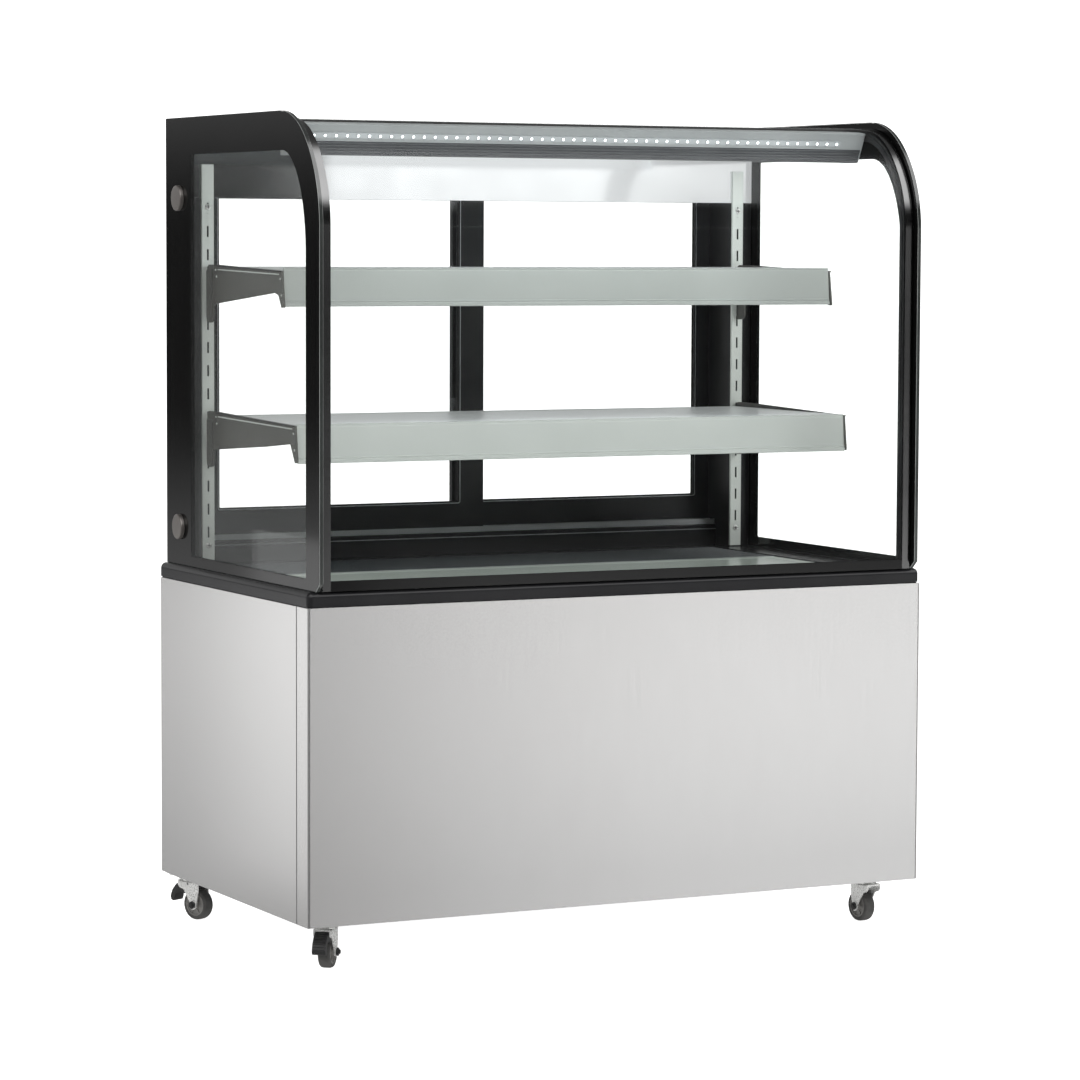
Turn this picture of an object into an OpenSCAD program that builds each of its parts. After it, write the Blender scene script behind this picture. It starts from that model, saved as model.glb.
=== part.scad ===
// Refrigerated curved-glass display showcase on casters.
// Frame: origin on the floor at the centre of the footprint, +X to the right
// when facing the glass front, +Y to the back, +Z up. Millimetres.

/* [Overall] */
// Width of the base cabinet
base_w = 1200; // [1100:10:1300]
// Depth of the base cabinet
base_d = 675; // [660:1:690]
// Height of the cabinet's lower edge above the floor
base_z = 85; // [85:1:85]
// Height of the cabinet's upper edge
base_top = 623; // [615:1:625]
// Height of the black rim around the top of the cabinet
rim_h = 27; // [24:1:30]
// Height of the side panes' upper edge
pane_top = 1452.5; // [1440:0.5:1460]

/* [Glass] */
// Thickness of the side panes
pane_t = 7; // [6:0.5:8]
// Distance from the middle to the outer face of a side pane
pane_x = 585; // [583:1:587]
// Half of the side panes' depth
pane_y = 347; // [347:0.5:348]
// Upper bend radius of the side pane's outline
pane_r1 = 150; // [145:1:155]
// Lower bend radius of the side pane's outline
pane_r2 = 215; // [210:1:220]
// How far the front glass sits inside the side pane's outline
glass_in = 12; // [11:0.5:12]
// Thickness of the front glass and the top panel
glass_t = 6; // [5:0.5:6]
// Width of the curved rail behind each end of the front glass
rail_w = 17.5; // [14:0.5:17.5]
// Depth of the curved rail
rail_d = 16; // [12:1:18]
// Diameter of the stand-off caps
cap_d = 46; // [40:1:50]

/* [Interior] */
// Height of the upper shelf's top
shelf_z2 = 1187; // [1180:1:1195]
// Height of the lower shelf's top
shelf_z1 = 920.5; // [915:0.5:925]
// Front edge of the upper shelf
shelf_y2 = -93; // [-110:1:-80]
// Front edge of the lower shelf
shelf_y1 = -150; // [-165:1:-140]
// Height of the price strips
strip_h = 66.5; // [60:0.5:70]
// Pitch of the slots in the slotted uprights
slot_pitch = 41.5; // [41:0.5:42]
// Number of lamps in the row under the top
led_count = 51; // [40:1:55]

/* [Doors] */
// Height of a sliding door
door_h = 650; // [640:1:652]
// Thickness of a sliding door's frame
door_t = 12; // [12:0.5:13]
// Width of a door's stile where the two doors pass
stile_w = 50; // [44:1:52]

/* [Casters] */
// Diameter of a wheel
wheel_d = 56; // [54:1:57]
// Width of a wheel's tread
wheel_w = 22; // [20:1:23]
// Offset of the axle from the swivel axis
trail = 16; // [15:0.5:18]
// Distance of the front swivel axes from the middle, left to right
front_x = 538; // [530:1:545]
// Distance of the rear swivel axes from the middle, left to right
rear_x = 557; // [545:1:558]

/* [Hidden] */
$fn = 48;

by0 = -332.5;                 // front face of the cabinet
by1 = by0 + base_d;           // back face of the cabinet
bx = base_w / 2;
st = 1.5;                     // sheet thickness
rim_top = base_top + rim_h;
gin = pane_x - pane_t;        // inner face of a side pane
// outline of a side pane in (y, z): two tangent bends between the front and the top
pc1 = [-178, pane_top - pane_r1];
pc2 = pc1 + (pane_r1 - pane_r2) * [cos(135), sin(135)];
// the bends, a distance o inside the outline, from the front up to the top
function bend(o) = concat([for (a = [180:-3:135]) pc2 + (pane_r2 - o) * [cos(a), sin(a)]],
                          [for (a = [132:-3:90]) pc1 + (pane_r1 - o) * [cos(a), sin(a)]]);
function rev(v) = [for (i = [len(v) - 1:-1:0]) v[i]];
gy0 = pc2[0] - pane_r2 + glass_in;    // outer face of the front glass
gz1 = pane_top - glass_in;            // upper face of the glass top
glass_back = -120;                    // where the front glass ends on the top
// swivel angles of the casters at rest
az_fl = 51; az_fr = 96; az_rl = -64; az_rr = -70;

// extrude a (y, z) outline along X, centred
module along_x(w) { translate([-w / 2, 0, 0]) rotate([90, 0, 90]) linear_extrude(height = w) children(); }
module box(x0, x1, y0, y1, z0, z1) { translate([x0, y0, z0]) cube([x1 - x0, y1 - y0, z1 - z0]); }
module mx() { children(); mirror([1, 0, 0]) children(); }

// ---------- base cabinet ----------
module floor_pan() color([0.55, 0.56, 0.57]) difference() {
  box(-bx + st + 0.5, bx - st - 0.5, by0 + st + 0.5, by1 - st - 0.5, base_z, base_z + 28);
  box(-bx + 2 * st + 0.5, bx - 2 * st - 0.5, by0 + 2 * st + 0.5, by1 - 2 * st - 0.5, base_z + 2, base_z + 30);
  // air inlet slots under the condenser
  for (i = [0:9]) box(-350 + i * 30, -334 + i * 30, -230, -110, base_z - 1, base_z + 3);
}
// front sheet with its two side returns and a folded lip at the top and the foot
module front_panel() color([0.74, 0.73, 0.72]) difference() {
  box(-bx, bx, by0, by0 + 47, base_z, base_top);
  box(-bx + st, bx - st, by0 + st, by0 + 50, base_z - 1, base_top + 1);
}
module side_panel(s) color([0.74, 0.73, 0.72]) mirror([s < 0 ? 1 : 0, 0, 0])
  box(bx - st, bx, by0 + 48, by1, base_z, base_top);
module rear_grille() color([0.7, 0.7, 0.69]) difference() {
  box(-bx + st + 0.2, bx - st - 0.2, by1 - st, by1, base_z, base_top);
  // louvre slots behind the condenser and the compressor
  for (k = [-330, 70], i = [0:14]) box(k, k + 260, by1 - 5, by1 + 5, 130 + i * 22, 138 + i * 22);
  // cut-outs for the controller and the two switches
  box(383.5, 454.5, by1 - 5, by1 + 5, 545.5, 574.5);
  for (x = [300, 340]) box(x - 9.5, x + 9.5, by1 - 5, by1 + 5, 546.5, 573.5);
  // cord outlet
  translate([-520, by1 + 5, 140]) rotate([90, 0, 0]) cylinder(r = 9, h = 10);
}
module frame_posts() color([0.5, 0.5, 0.5]) for (sx = [-1, 1], sy = [-1, 1]) mirror([sx < 0 ? 1 : 0, 0, 0])
  translate([0, (by0 + by1) / 2, 0]) mirror([0, sy < 0 ? 1 : 0, 0]) difference() {
    box(bx - 36, bx - 4, base_d / 2 - 36, base_d / 2 - 4, base_z + 2.3, base_top);
    box(bx - 40, bx - 6, base_d / 2 - 40, base_d / 2 - 6, base_z, base_top + 1);
  }
// black band around the top of the cabinet, its upper edges rounded
band_r = 10;
module band_solid() intersection() {
  along_x(base_w - 2) polygon(concat([[by0 + 1, base_top]], [for (a = [180:-9:90]) [by0 + 1 + band_r + band_r * cos(a), rim_top - band_r + band_r * sin(a)]], [[by1, rim_top], [by1, base_top]]));
  translate([0, 400, 0]) rotate([90, 0, 0]) linear_extrude(height = 800)
    polygon(concat([[-bx + 1, base_top]], [for (a = [180:-9:90]) [-bx + 1 + band_r + band_r * cos(a), rim_top - band_r + band_r * sin(a)]],
      [for (a = [90:-9:0]) [bx - 1 - band_r + band_r * cos(a), rim_top - band_r + band_r * sin(a)]], [[bx - 1, base_top]]));
}
module base_band() color([0.06, 0.06, 0.065]) difference() {
  band_solid();
  box(-493, 493, -288, 250, base_top - 1, rim_top + 1);
  box(-505, 505, -300, 262, rim_top - 6, rim_top + 1);
}
// insulated well below the deck that holds the evaporator
module cold_well() color([0.2, 0.2, 0.21]) difference() {
  box(-560, 560, -315, 300, 500, base_top);
  box(-525, 525, -280, 265, 530, base_top + 1);
  translate([-450, 180, 490]) cylinder(r = 9.5, h = 60);
  for (x = [-380, -350]) translate([x, 120, 490]) cylinder(r = 6, h = 60);
}
module evaporator() color([0.75, 0.76, 0.77]) union() {
  for (i = [0:24]) box(-300 + i * 25, -297.5 + i * 25, 150, 250, 545, 610);
  for (y = [175, 225], z = [560, 590]) translate([-320, y, z]) rotate([0, 90, 0]) cylinder(r = 4.5, h = 640);
  for (x = [-322, 318]) box(x, x + 3, 148, 252, 530, 612);
}
module fan_motors() color([0.15, 0.15, 0.16]) {
  // evaporator fan motor on a foot bracket, shaft towards the front
  union() { translate([0, 100, 583]) rotate([-90, 0, 0]) cylinder(r = 24, h = 40); translate([0, 74, 583]) rotate([-90, 0, 0]) cylinder(r = 3, h = 30); box(-20, 20, 112, 130, 530, 565); }
  // condenser fan motor on a foot bracket, shaft towards the front
  union() { translate([-210, 72, 220]) rotate([-90, 0, 0]) cylinder(r = 38, h = 56); translate([-210, 34, 220]) rotate([-90, 0, 0]) cylinder(r = 4, h = 42); box(-245, -175, 85, 118, base_z + 2, 190); }
}
module deck_plate() color([0.60, 0.64, 0.60]) difference() {
  box(-503, 503, -298, 22, rim_top - 6, rim_top - 1.5);
  box(-480, 480, -275, 0, rim_top - 8, rim_top - 3.2);
}
module deck_grille() color([0.07, 0.08, 0.085]) difference() {
  union() {
    box(-503, 503, 23, 260, rim_top - 6, rim_top - 3.5);
    for (i = [0:14]) box(-503, 503, 26 + i * 16, 31 + i * 16, rim_top - 5, rim_top - 1);
  }
  for (k = [0:5], i = [0:13]) box(-490 + k * 165, -340 + k * 165, 34 + i * 16, 39 + i * 16, rim_top - 8, rim_top + 2);
}

// ---------- glass enclosure ----------
module side_glass(s) color([0.1, 0.11, 0.12, 0.6]) difference() {
  translate([s > 0 ? gin + pane_t / 2 : -gin - pane_t / 2, 0, 0]) along_x(pane_t)
    polygon(concat([[pane_y, rim_top], [pc2[0] - pane_r2 + 16, rim_top], [pc2[0] - pane_r2, rim_top + 14]], bend(0), [[pane_y, pane_top]]));
  for (z = [719, 1309]) translate([s > 0 ? 570 : -570, 281, z]) rotate([0, s * 90, 0]) cylinder(r = 7, h = 30);
}
// stand-off caps, each with a threaded stud through the pane
module glass_caps() color([0.36, 0.34, 0.32]) for (s = [-1, 1], z = [719, 1309])
  translate([s * pane_x, 281, z]) rotate([0, s * 90, 0]) union() {
    cylinder(d = cap_d, h = 6.8);
    translate([0, 0, 6.7]) cylinder(d = cap_d - 3, h = 1.3);
    translate([0, 0, -pane_t - 16]) cylinder(r = 6, h = pane_t + 17);
  }
module front_glass() color([0.7, 0.8, 0.8, 0.3]) along_x(2 * gin - 6)
  polygon(concat([[gy0, rim_top + 0.2]], bend(glass_in), [[glass_back, gz1], [glass_back, gz1 - glass_t]],
    rev(bend(glass_in + glass_t)), [[gy0 + glass_t, rim_top + 0.2]]));
module glass_rails() color([0.07, 0.07, 0.07]) mx() translate([gin - 0.5 - rail_w / 2, 0, 0]) along_x(rail_w)
  polygon(concat([[gy0 + glass_t, rim_top]], bend(glass_in + glass_t), [[glass_back, gz1 - glass_t], [glass_back, gz1 - glass_t - rail_d]],
    rev(bend(glass_in + glass_t + rail_d)), [[gy0 + glass_t + rail_d, rim_top]]));
module top_panel() color([0.12, 0.12, 0.12]) box(-gin + 0.5, gin - 0.5, glass_back + 0.5, 346, gz1 - glass_t, gz1);
// aluminium lamp housing below the front of the top, open to the back
module light_canopy() color([0.6, 0.62, 0.63]) along_x(1112) polygon([
  [-200, 1428], [-176, 1380], [-172, 1378.5], [-166, 1378.5], [-166, 1380.5], [-171.5, 1380.5], [-174.3, 1381.2], [-197.3, 1427.5],
  [-197, 1429], [-178, 1432.5], [-105, 1432.5], [-105, gz1 - glass_t], [-178, gz1 - glass_t], [-199, 1431.2], [-200, 1430]]);
// circuit board with a row of lamps on the sloping face of the lamp housing
led_c = [-192.012, 1411.994];
module led_strip() color([0.95, 0.97, 1]) {
  translate([-14, 0, 0]) along_x(1044) polygon([led_c + [-2.24, 4.47] + [0, 0], led_c + [2.24, -4.47], led_c + [2.24, -4.47] + [-1.25, -0.63], led_c + [-2.24, 4.47] + [-1.25, -0.63]]);
  for (i = [0:led_count - 1]) translate([-528 + i * 1028 / (led_count - 1), led_c[0] - 1.2, led_c[1] - 0.6]) rotate([-63.4, 0, 0])
    translate([-2.5, -2.5, -1.5]) cube([5, 5, 1.6]);
}
module rear_header() color([0.5, 0.51, 0.52]) union() {
  box(-gin + 0.5, gin - 0.5, 249.2, 251, 1309, gz1 - glass_t);
  box(-532, 532, 249.2, 302, 1309, 1310.8);
}
module rear_posts() color([0.05, 0.05, 0.055]) mx() difference() {
  union() { box(533, gin - 0.5, 249.2, 346, rim_top, 1308.8); box(533, gin - 0.5, 251.2, 346, 1308.5, gz1 - glass_t); }
  box(535, gin - 2.5, 253.4, 344, rim_top - 1, gz1);
  for (z = [719, 1309]) translate([550, 281, z]) rotate([0, 90, 0]) cylinder(r = 6.5, h = 40);
  for (z = [686, 1293]) translate([545, 255, z]) rotate([90, 0, 0]) cylinder(r = 2.3, h = 10);
}
module rear_beam() color([0.05, 0.05, 0.055]) difference() {
  box(-532.8, 532.8, 303, 346, 1360, gz1 - glass_t);
  box(-540, 540, 305, 344, 1362, gz1 - glass_t - 2);
}
module rear_sill() color([0.05, 0.05, 0.055]) difference() {
  box(-532.8, 532.8, 300, 346, rim_top, 690);
  box(-540, 540, 302, 344, rim_top - 2, 688);
  // row of air slots low in its front face
  for (i = [0:60]) box(-520 + i * 17, -512 + i * 17, 299, 303, 664, 668);
}
module door_tracks() color([0.6, 0.61, 0.62]) {
  // lower track, two grooves
  difference() { box(-532, 532, 302, 346, 690, 700);
    box(-540, 540, 305.5, 320.5, 692, 701); box(-540, 540, 326.5, 341.5, 692, 701); }
  // upper track
  difference() { box(-532, 532, 303, 346, 1337, 1360);
    box(-540, 540, 305.5, 320.5, 1330, 1350); box(-540, 540, 326.5, 341.5, 1330, 1350); }
}

// ---------- shelves ----------
module pilasters() color([0.72, 0.74, 0.72]) mx() difference() {
  box(533.5, 556.5, 244, 249, 652, 1369);
  box(535, 555, 245.5, 250, 651, 1370);
  for (i = [0:14]) box(543.2, 546.8, 243, 247, 700 + i * slot_pitch, 720 + i * slot_pitch);
  for (z = [686, 1293]) translate([545, 250, z]) rotate([90, 0, 0]) cylinder(r = 2.3, h = 10);
}
module panel_screws() color([0.6, 0.6, 0.6]) {
  mx() for (z = [686, 1293]) translate([545, 253.2, z]) rotate([90, 0, 0]) union() { cylinder(r = 2.25, h = 9.5); translate([0, 0, 9.2]) cylinder(r = 4.6, h = 1.6); }
  mx() for (z = [110, 360, 600]) translate([585, by1, z]) rotate([-90, 0, 0]) cylinder(r = 4.5, h = 2);
}
// shelf plate with flanges folded down on all four sides
module shelf(z, y0) difference() {
  box(-541, 541, y0, 235, z - 16, z);
  box(-539.5, 539.5, y0 + 1.5, 233.5, z - 20, z - 1.5);
}
module shelf_upper() color([0.78, 0.8, 0.8]) shelf(shelf_z2, shelf_y2);
module shelf_lower() color([0.78, 0.8, 0.8]) shelf(shelf_z1, shelf_y1);
// price strip: slanted face, turned-in top, hooked lip at the foot
module strip(z, y0, w) along_x(w) polygon([[y0 - 0.2, z + 0.5], [y0 - 3, z + 0.5], [y0 - 8.3, z - strip_h + 9], [y0 - 10.5, z - strip_h + 6],
  [y0 - 11, z - strip_h + 1.5], [y0 - 8.5, z - strip_h], [y0 - 4, z - strip_h + 2.5], [y0 - 4, z - strip_h + 4], [y0 - 7.6, z - strip_h + 4], [y0 - 6.3, z - strip_h + 8], [y0 - 1.9, z - 17], [y0 - 0.2, z - 16]]);
module price_strip_upper() color([0.68, 0.7, 0.68]) strip(shelf_z2, shelf_y2, 1085);
module price_strip_lower() color([0.68, 0.7, 0.68]) strip(shelf_z1, shelf_y1, 1086.4);
// brackets: arm, rear strip with a rounded foot, and two hooks that enter the slots of the uprights
// hook(b): goes through a slot from height b to b + 11 and drops 12 behind the sheet
function hook(b) = [[243.5, b], [247.4, b], [247.4, b - 12], [248.6, b - 12], [248.6, b + 11], [243.5, b + 11]];
foot_r = 13;
function foot(y, z) = [for (a = [180:15:270]) [y + foot_r + foot_r * cos(a), z + foot_r + foot_r * sin(a)]];
module shelf_brackets() color([0.2, 0.2, 0.19]) mx() for (i = [0, 1]) let (z = i == 0 ? shelf_z2 - 16 : shelf_z1 - 16, y = i == 0 ? shelf_y2 : shelf_y1) union() {
  translate([545, 0, 0]) along_x(3) polygon(i == 0 ?
   concat([[243.5, z + 15], [236, z + 19.5], [190, z + 19.5], [y - 4, z + 11], [y - 14, z - 52], [y - 2, z - 52], [y + 11, z - 31], [y + 27, z - 27], [195, z - 49], [215, z - 52]],
     foot(215, z - 84), [[243.5, z - 84]], hook(z - 50), hook(z - 9)) :
   concat([[243.5, z + 20], [236, z + 24], [190, z + 24], [y - 5, z + 14.5], [y - 13, z - 49], [y - 3, z - 49.5], [y + 7, z - 33], [y + 17, z - 18], [-25, z - 27.5], [195, z - 43], [215, z - 45]],
     foot(215, z - 76), [[243.5, z - 76]], hook(z - 34), hook(z + 6.5)));
  // ledge turned inwards under the shelf
  box(532, 545, y + 14, 232, z - 2, z);
}

// ---------- cooling unit ----------
module compressor() color([0.08, 0.08, 0.09]) union() {
  translate([200, 60, base_z + 21]) cylinder(r = 78, h = 120);
  translate([200, 60, base_z + 141]) rotate_extrude() polygon(concat([[0, 0]], [for (a = [0:10:90]) [78 * cos(a), 55 * sin(a)]]));
  box(100, 300, -10, 130, base_z + 17, base_z + 21);
  for (x = [112, 288], y = [0, 120]) translate([x, y, base_z + 2]) cylinder(r = 9, h = 15.5);
  box(265, 292, 30, 90, base_z + 60, base_z + 120);
}
// finned coil with its fan shroud
module condenser() color([0.3, 0.3, 0.3]) {
  union() {
    for (i = [0:27]) box(-360 + i * 11, -358.5 + i * 11, -60, -5, 105, 345);
    for (y = [-48, -17], z = [130:48:330]) translate([-362, y, z]) rotate([0, 90, 0]) cylinder(r = 4.5, h = 304);
    for (x = [-364, -60]) box(x, x + 2, -62, -3, base_z + 2, 347);
  }
  difference() {
    box(-366, -54, -2.5, 34, base_z + 2, 350);
    box(-364, -56, -5, 32.5, base_z + 1, 348.5);
    translate([-210, 50, 220]) rotate([90, 0, 0]) cylinder(r = 102, h = 40);
  }
}
// straight tube pieces with round joints between the listed points
module tube_run(p) for (i = [0:len(p) - 2]) let (a = p[i], b = p[i + 1], d = b - a, l = norm(d))
  translate(a) rotate([0, acos(d[2] / l), atan2(d[1], d[0])]) union() { cylinder(r = 4, h = l); sphere(r = 4); }
module refrigerant_lines() color([0.72, 0.45, 0.3]) {
  // suction line from the evaporator down to the compressor
  tube_run([[-326.2, 225, 590], [-350, 225, 590], [-350, 120, 590], [-350, 120, 440], [200, 120, 440], [200, 60, 440], [200, 60, 285]]);
  // discharge line from the compressor to the condenser
  tube_run([[296.2, 60, 180], [320, 60, 180], [320, -48, 180], [320, -48, 370], [-30, -48, 370], [-30, -48, 322], [-53.8, -48, 322]]);
  // liquid line from the condenser to the evaporator
  tube_run([[-368.3, -17, 130], [-400, -17, 130], [-400, 120, 130], [-400, 120, 400], [-380, 120, 400], [-380, 120, 560], [-380, 175, 560], [-326.2, 175, 560]]);
}
// evaporation pan with the drain pipe that feeds it
module drain_pan() color([0.3, 0.31, 0.32]) {
  difference() { box(-545, -425, 90, 290, base_z + 2.2, base_z + 45); box(-542.5, -427.5, 92.5, 287.5, base_z + 4.7, base_z + 50); }
  difference() {
    union() { translate([-450, 180, 142]) cylinder(r = 9, h = 390); translate([-450, 180, 530]) cylinder(r = 15, h = 3); }
    translate([-450, 180, 130]) cylinder(r = 7, h = 420);
  }
}
// temperature controller: housing through the panel, bezel outside, two key pockets
module controller() color([0.06, 0.06, 0.06]) difference() {
  union() {
    box(380.5, 457.5, by1, by1 + 3.5, 541.5, 578.5);
    box(384, 454, by1 - 41, by1 + 1, 546, 574);
  }
  for (x = [442, 428]) box(x - 4.2, x + 4.2, by1 - 2.5, by1 + 5, 548, 556);
}
module key(x) color([0.5, 0.5, 0.5]) box(x - 3.8, x + 3.8, by1 - 1, by1 + 4.4, 548.4, 555.6);
// frames of the two rocker switches
module switch_bezels() color([0.05, 0.05, 0.05]) for (x = [300, 340]) difference() {
  union() { box(x - 11.5, x + 11.5, by1, by1 + 2, 544.5, 575.5); box(x - 9.2, x + 9.2, by1 - 22, by1 + 0.5, 546.8, 573.2); }
  box(x - 7, x + 7, by1 - 14, by1 + 3, 549, 571);
  translate([x - 8.4, by1 - 5, 560]) rotate([0, 90, 0]) cylinder(r = 1.55, h = 16.8);
}
// rocker on its pin, shown pressed at the lower end
module rocker(x) translate([x, by1 - 5, 560]) rotate([7, 0, 0]) union() {
  rotate([90, 0, 90]) translate([0, 0, -6.6]) linear_extrude(height = 13.2) polygon([[-4, -7], [-4, 7], [5.4, 9.2], [8, 9.4], [5.2, 0], [8, -9.4], [5.4, -9.2]]);
  translate([-8.2, 0, 0]) rotate([0, 90, 0]) cylinder(r = 1.5, h = 16.4);
}
module cable_gland() color([0.05, 0.05, 0.05]) translate([-520, by1 - 12, 140]) rotate([-90, 0, 0]) difference() {
  union() { cylinder(r = 8.8, h = 13); translate([0, 0, 12]) cylinder(r = 14, h = 4); translate([0, 0, 0]) cylinder(r = 12, h = 10); }
  translate([0, 0, -1]) cylinder(r = 5, h = 20);
}

// ---------- sliding doors ----------
dl = [-531, 35, 307];    // left door: left edge, right edge, front face
dr = [-20, 531, 328];    // right door
door_z0 = 694.5;
outer_w = 31.5; // [28:0.5:34]
module door_frame(d) difference() {
  box(d[0], d[1], d[2], d[2] + door_t, door_z0, door_z0 + door_h);
  box(d[0] + (d[0] < -400 ? outer_w : stile_w), d[1] - (d[1] > 400 ? outer_w : stile_w), d[2] - 1, d[2] + door_t + 1, door_z0 + 51.5, door_z0 + door_h - 22);
  box(d[0] + 22, d[1] - 22, d[2] + 4, d[2] + 8, door_z0 + 40, door_z0 + door_h - 12);
}
module door_pull(x, y) box(x - 6, x + 6, y - 0.5, y + 6, 930, 1110);
module door_left_frame() color([0.05, 0.05, 0.055]) union() { door_frame(dl); door_pull(dl[0] + 20, dl[2] + door_t); }
module door_right_frame() color([0.05, 0.05, 0.055]) union() { door_frame(dr); door_pull(dr[1] - 20, dr[2] + door_t); }
module door_pane(d) color([0.75, 0.85, 0.85, 0.25]) box(d[0] + 22, d[1] - 22, d[2] + 4, d[2] + 8, door_z0 + 40, door_z0 + door_h - 12);

// ---------- fans ----------
module fan(x, y, z, r, n, bw, hub, bore) translate([x, y, z]) rotate([-90, 0, 0]) difference() {
  union() {
    cylinder(r = hub, h = 14);
    for (i = [0:n - 1]) rotate([0, 0, i * 360 / n]) translate([hub - 3, 0, 7]) rotate([25, 0, 0]) translate([0, -bw / 2, -0.8]) cube([r - hub, bw, 1.6]);
  }
  translate([0, 0, -1]) cylinder(r = bore, h = 20);
}
module condenser_fan() color([0.1, 0.1, 0.1]) fan(-210, 42, 220, 96, 5, 44, 24, 4.05);
module evaporator_fan() color([0.85, 0.85, 0.82]) fan(0, 78, 583, 36, 5, 18, 10, 3.05);

// ---------- casters ----------
module at_caster(sx, sy, a) translate([sx * (sy < 0 ? front_x : rear_x), sy < 0 ? -262 : 300, 0]) rotate([0, 0, a]) children();
// fixed plates, each with its kingpin and a head below the fork
module caster_plates() color([0.68, 0.68, 0.67]) for (sx = [-1, 1], sy = [-1, 1]) at_caster(sx, sy, 0) difference() {
  union() {
    translate([-38, -31, 82]) cube([76, 62, 3]);
    translate([0, 0, 66]) cylinder(r = 5, h = 17);
    translate([0, 0, 62.8]) cylinder(r = 8, h = 3.4);
    translate([0, 0, 78.5]) cylinder(r = 11, h = 4);
  }
  for (x = [-29, 29], y = [-23, 23]) translate([x, y, 80]) cylinder(r = 3.3, h = 6);
}
axle_z = wheel_d / 2;
// pressed fork: crown, two legs, swivel race, axle with its nuts; braked forks carry the pedal's pin
module leg(y) translate([0, y, 0]) rotate([90, 0, 0]) linear_extrude(height = 2.5)
  polygon([[-21, 71], [-21, 62], [-16, 57], [-7, 55], [trail - 7, 30], [trail - 7, 21], [trail + 7, 21], [trail + 8, 30], [trail + 12, 50], [trail + 12, 71]]);
module fork(b) color([0.72, 0.72, 0.71]) difference() {
  union() {
    translate([-21, -15.2, 68]) cube([trail + 33, 30.4, 3]);
    translate([0, 0, 70.5]) cylinder(r = 17, h = 7.6);
    leg(-12.7); leg(15.2);
    translate([trail, 16, axle_z]) rotate([90, 0, 0]) cylinder(r = 4, h = 32);
    for (s = [-1, 1]) translate([trail, s * 15, axle_z]) rotate([-s * 90, 0, 0]) { cylinder(r = 7.5, h = 4.5, $fn = 6); cylinder(r = 4, h = 7.5); }
    if (b) translate([-15, 14, 62]) rotate([90, 0, 0]) cylinder(r = 2.5, h = 28);
    if (b) for (s = [-1, 1]) translate([-15, s * 15, 62]) rotate([-s * 90, 0, 0]) cylinder(r = 3.6, h = 1.2);
  }
  translate([0, 0, 60]) cylinder(r = 5.06, h = 20);
}
module wheel() color([0.25, 0.25, 0.25]) translate([trail, 0, axle_z]) rotate([90, 0, 0]) rotate_extrude()
  polygon([[4.06, -12.4], [9, -12.4], [9, -wheel_w / 2 + 1.5], [18, -wheel_w / 2 + 1.5], [19.5, -wheel_w / 2], [24, -wheel_w / 2], [26.8, -wheel_w / 2 + 2.4], [axle_z, -wheel_w / 2 + 7],
    [axle_z, wheel_w / 2 - 7], [26.8, wheel_w / 2 - 2.4], [24, wheel_w / 2], [19.5, wheel_w / 2], [18, wheel_w / 2 - 1.5], [9, wheel_w / 2 - 1.5], [9, 12.4], [4.06, 12.4]]);
// brake pedal, turning on the fork's pin, its shoe facing the tread
brake_gap = 1.8;
module brake() color([0.08, 0.08, 0.08]) difference() {
  translate([0, 12, 0]) rotate([90, 0, 0]) linear_extrude(height = 24)
    polygon(concat([[-10.5, 66], [-22, 66.5], [-30, 60], [-38, 50], [-42, 38], [-40, 32], [-34, 30], [-32, 34], [-30, 44], [-25, 51], [-17, 52]],
      [for (a = [142:-2:128]) [trail + (axle_z + brake_gap) * cos(a), axle_z + (axle_z + brake_gap) * sin(a)]], [[-6.5, 56.5], [-10.5, 60]]));
  translate([-15, 20, 62]) rotate([90, 0, 0]) cylinder(r = 2.56, h = 40);
}

floor_pan();
front_panel();
side_panel(-1);  // side_panel_left
side_panel(1);  // side_panel_right
rear_grille();
frame_posts();
base_band();
cold_well();
evaporator();
fan_motors();
deck_plate();
deck_grille();
side_glass(-1);  // side_glass_left
side_glass(1);  // side_glass_right
glass_caps();
front_glass();
glass_rails();
top_panel();
light_canopy();
led_strip();
rear_header();
rear_posts();
rear_beam();
rear_sill();
door_tracks();
pilasters();
panel_screws();
shelf_upper();
shelf_lower();
price_strip_upper();
price_strip_lower();
shelf_brackets();
compressor();
condenser();
refrigerant_lines();
drain_pan();
controller();
switch_bezels();
cable_gland();
caster_plates();
door_left_frame();
door_pane(dl);  // door_left_glass
door_right_frame();
door_pane(dr);  // door_right_glass
condenser_fan();
evaporator_fan();
color([0.1, 0.4, 0.2]) rocker(300);  // light_switch
color([0.7, 0.1, 0.1]) rocker(340);  // power_switch
key(442);  // key_up
key(428);  // key_down
at_caster(-1, -1, az_fl) fork(true);  // fork_fl
at_caster(1, -1, az_fr) fork(false);  // fork_fr
at_caster(-1, 1, az_rl) fork(true);  // fork_rl
at_caster(1, 1, az_rr) fork(false);  // fork_rr
at_caster(-1, -1, az_fl) wheel();  // wheel_fl
at_caster(1, -1, az_fr) wheel();  // wheel_fr
at_caster(-1, 1, az_rl) wheel();  // wheel_rl
at_caster(1, 1, az_rr) wheel();  // wheel_rr
at_caster(-1, -1, az_fl) brake();  // brake_fl
at_caster(-1, 1, az_rl) brake();  // brake_rl
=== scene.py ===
# Looks for the refrigerated curved-glass display showcase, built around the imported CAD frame.
import bpy, bmesh, math
from mathutils import Vector, Matrix
from mathutils.geometry import tessellate_polygon


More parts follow.
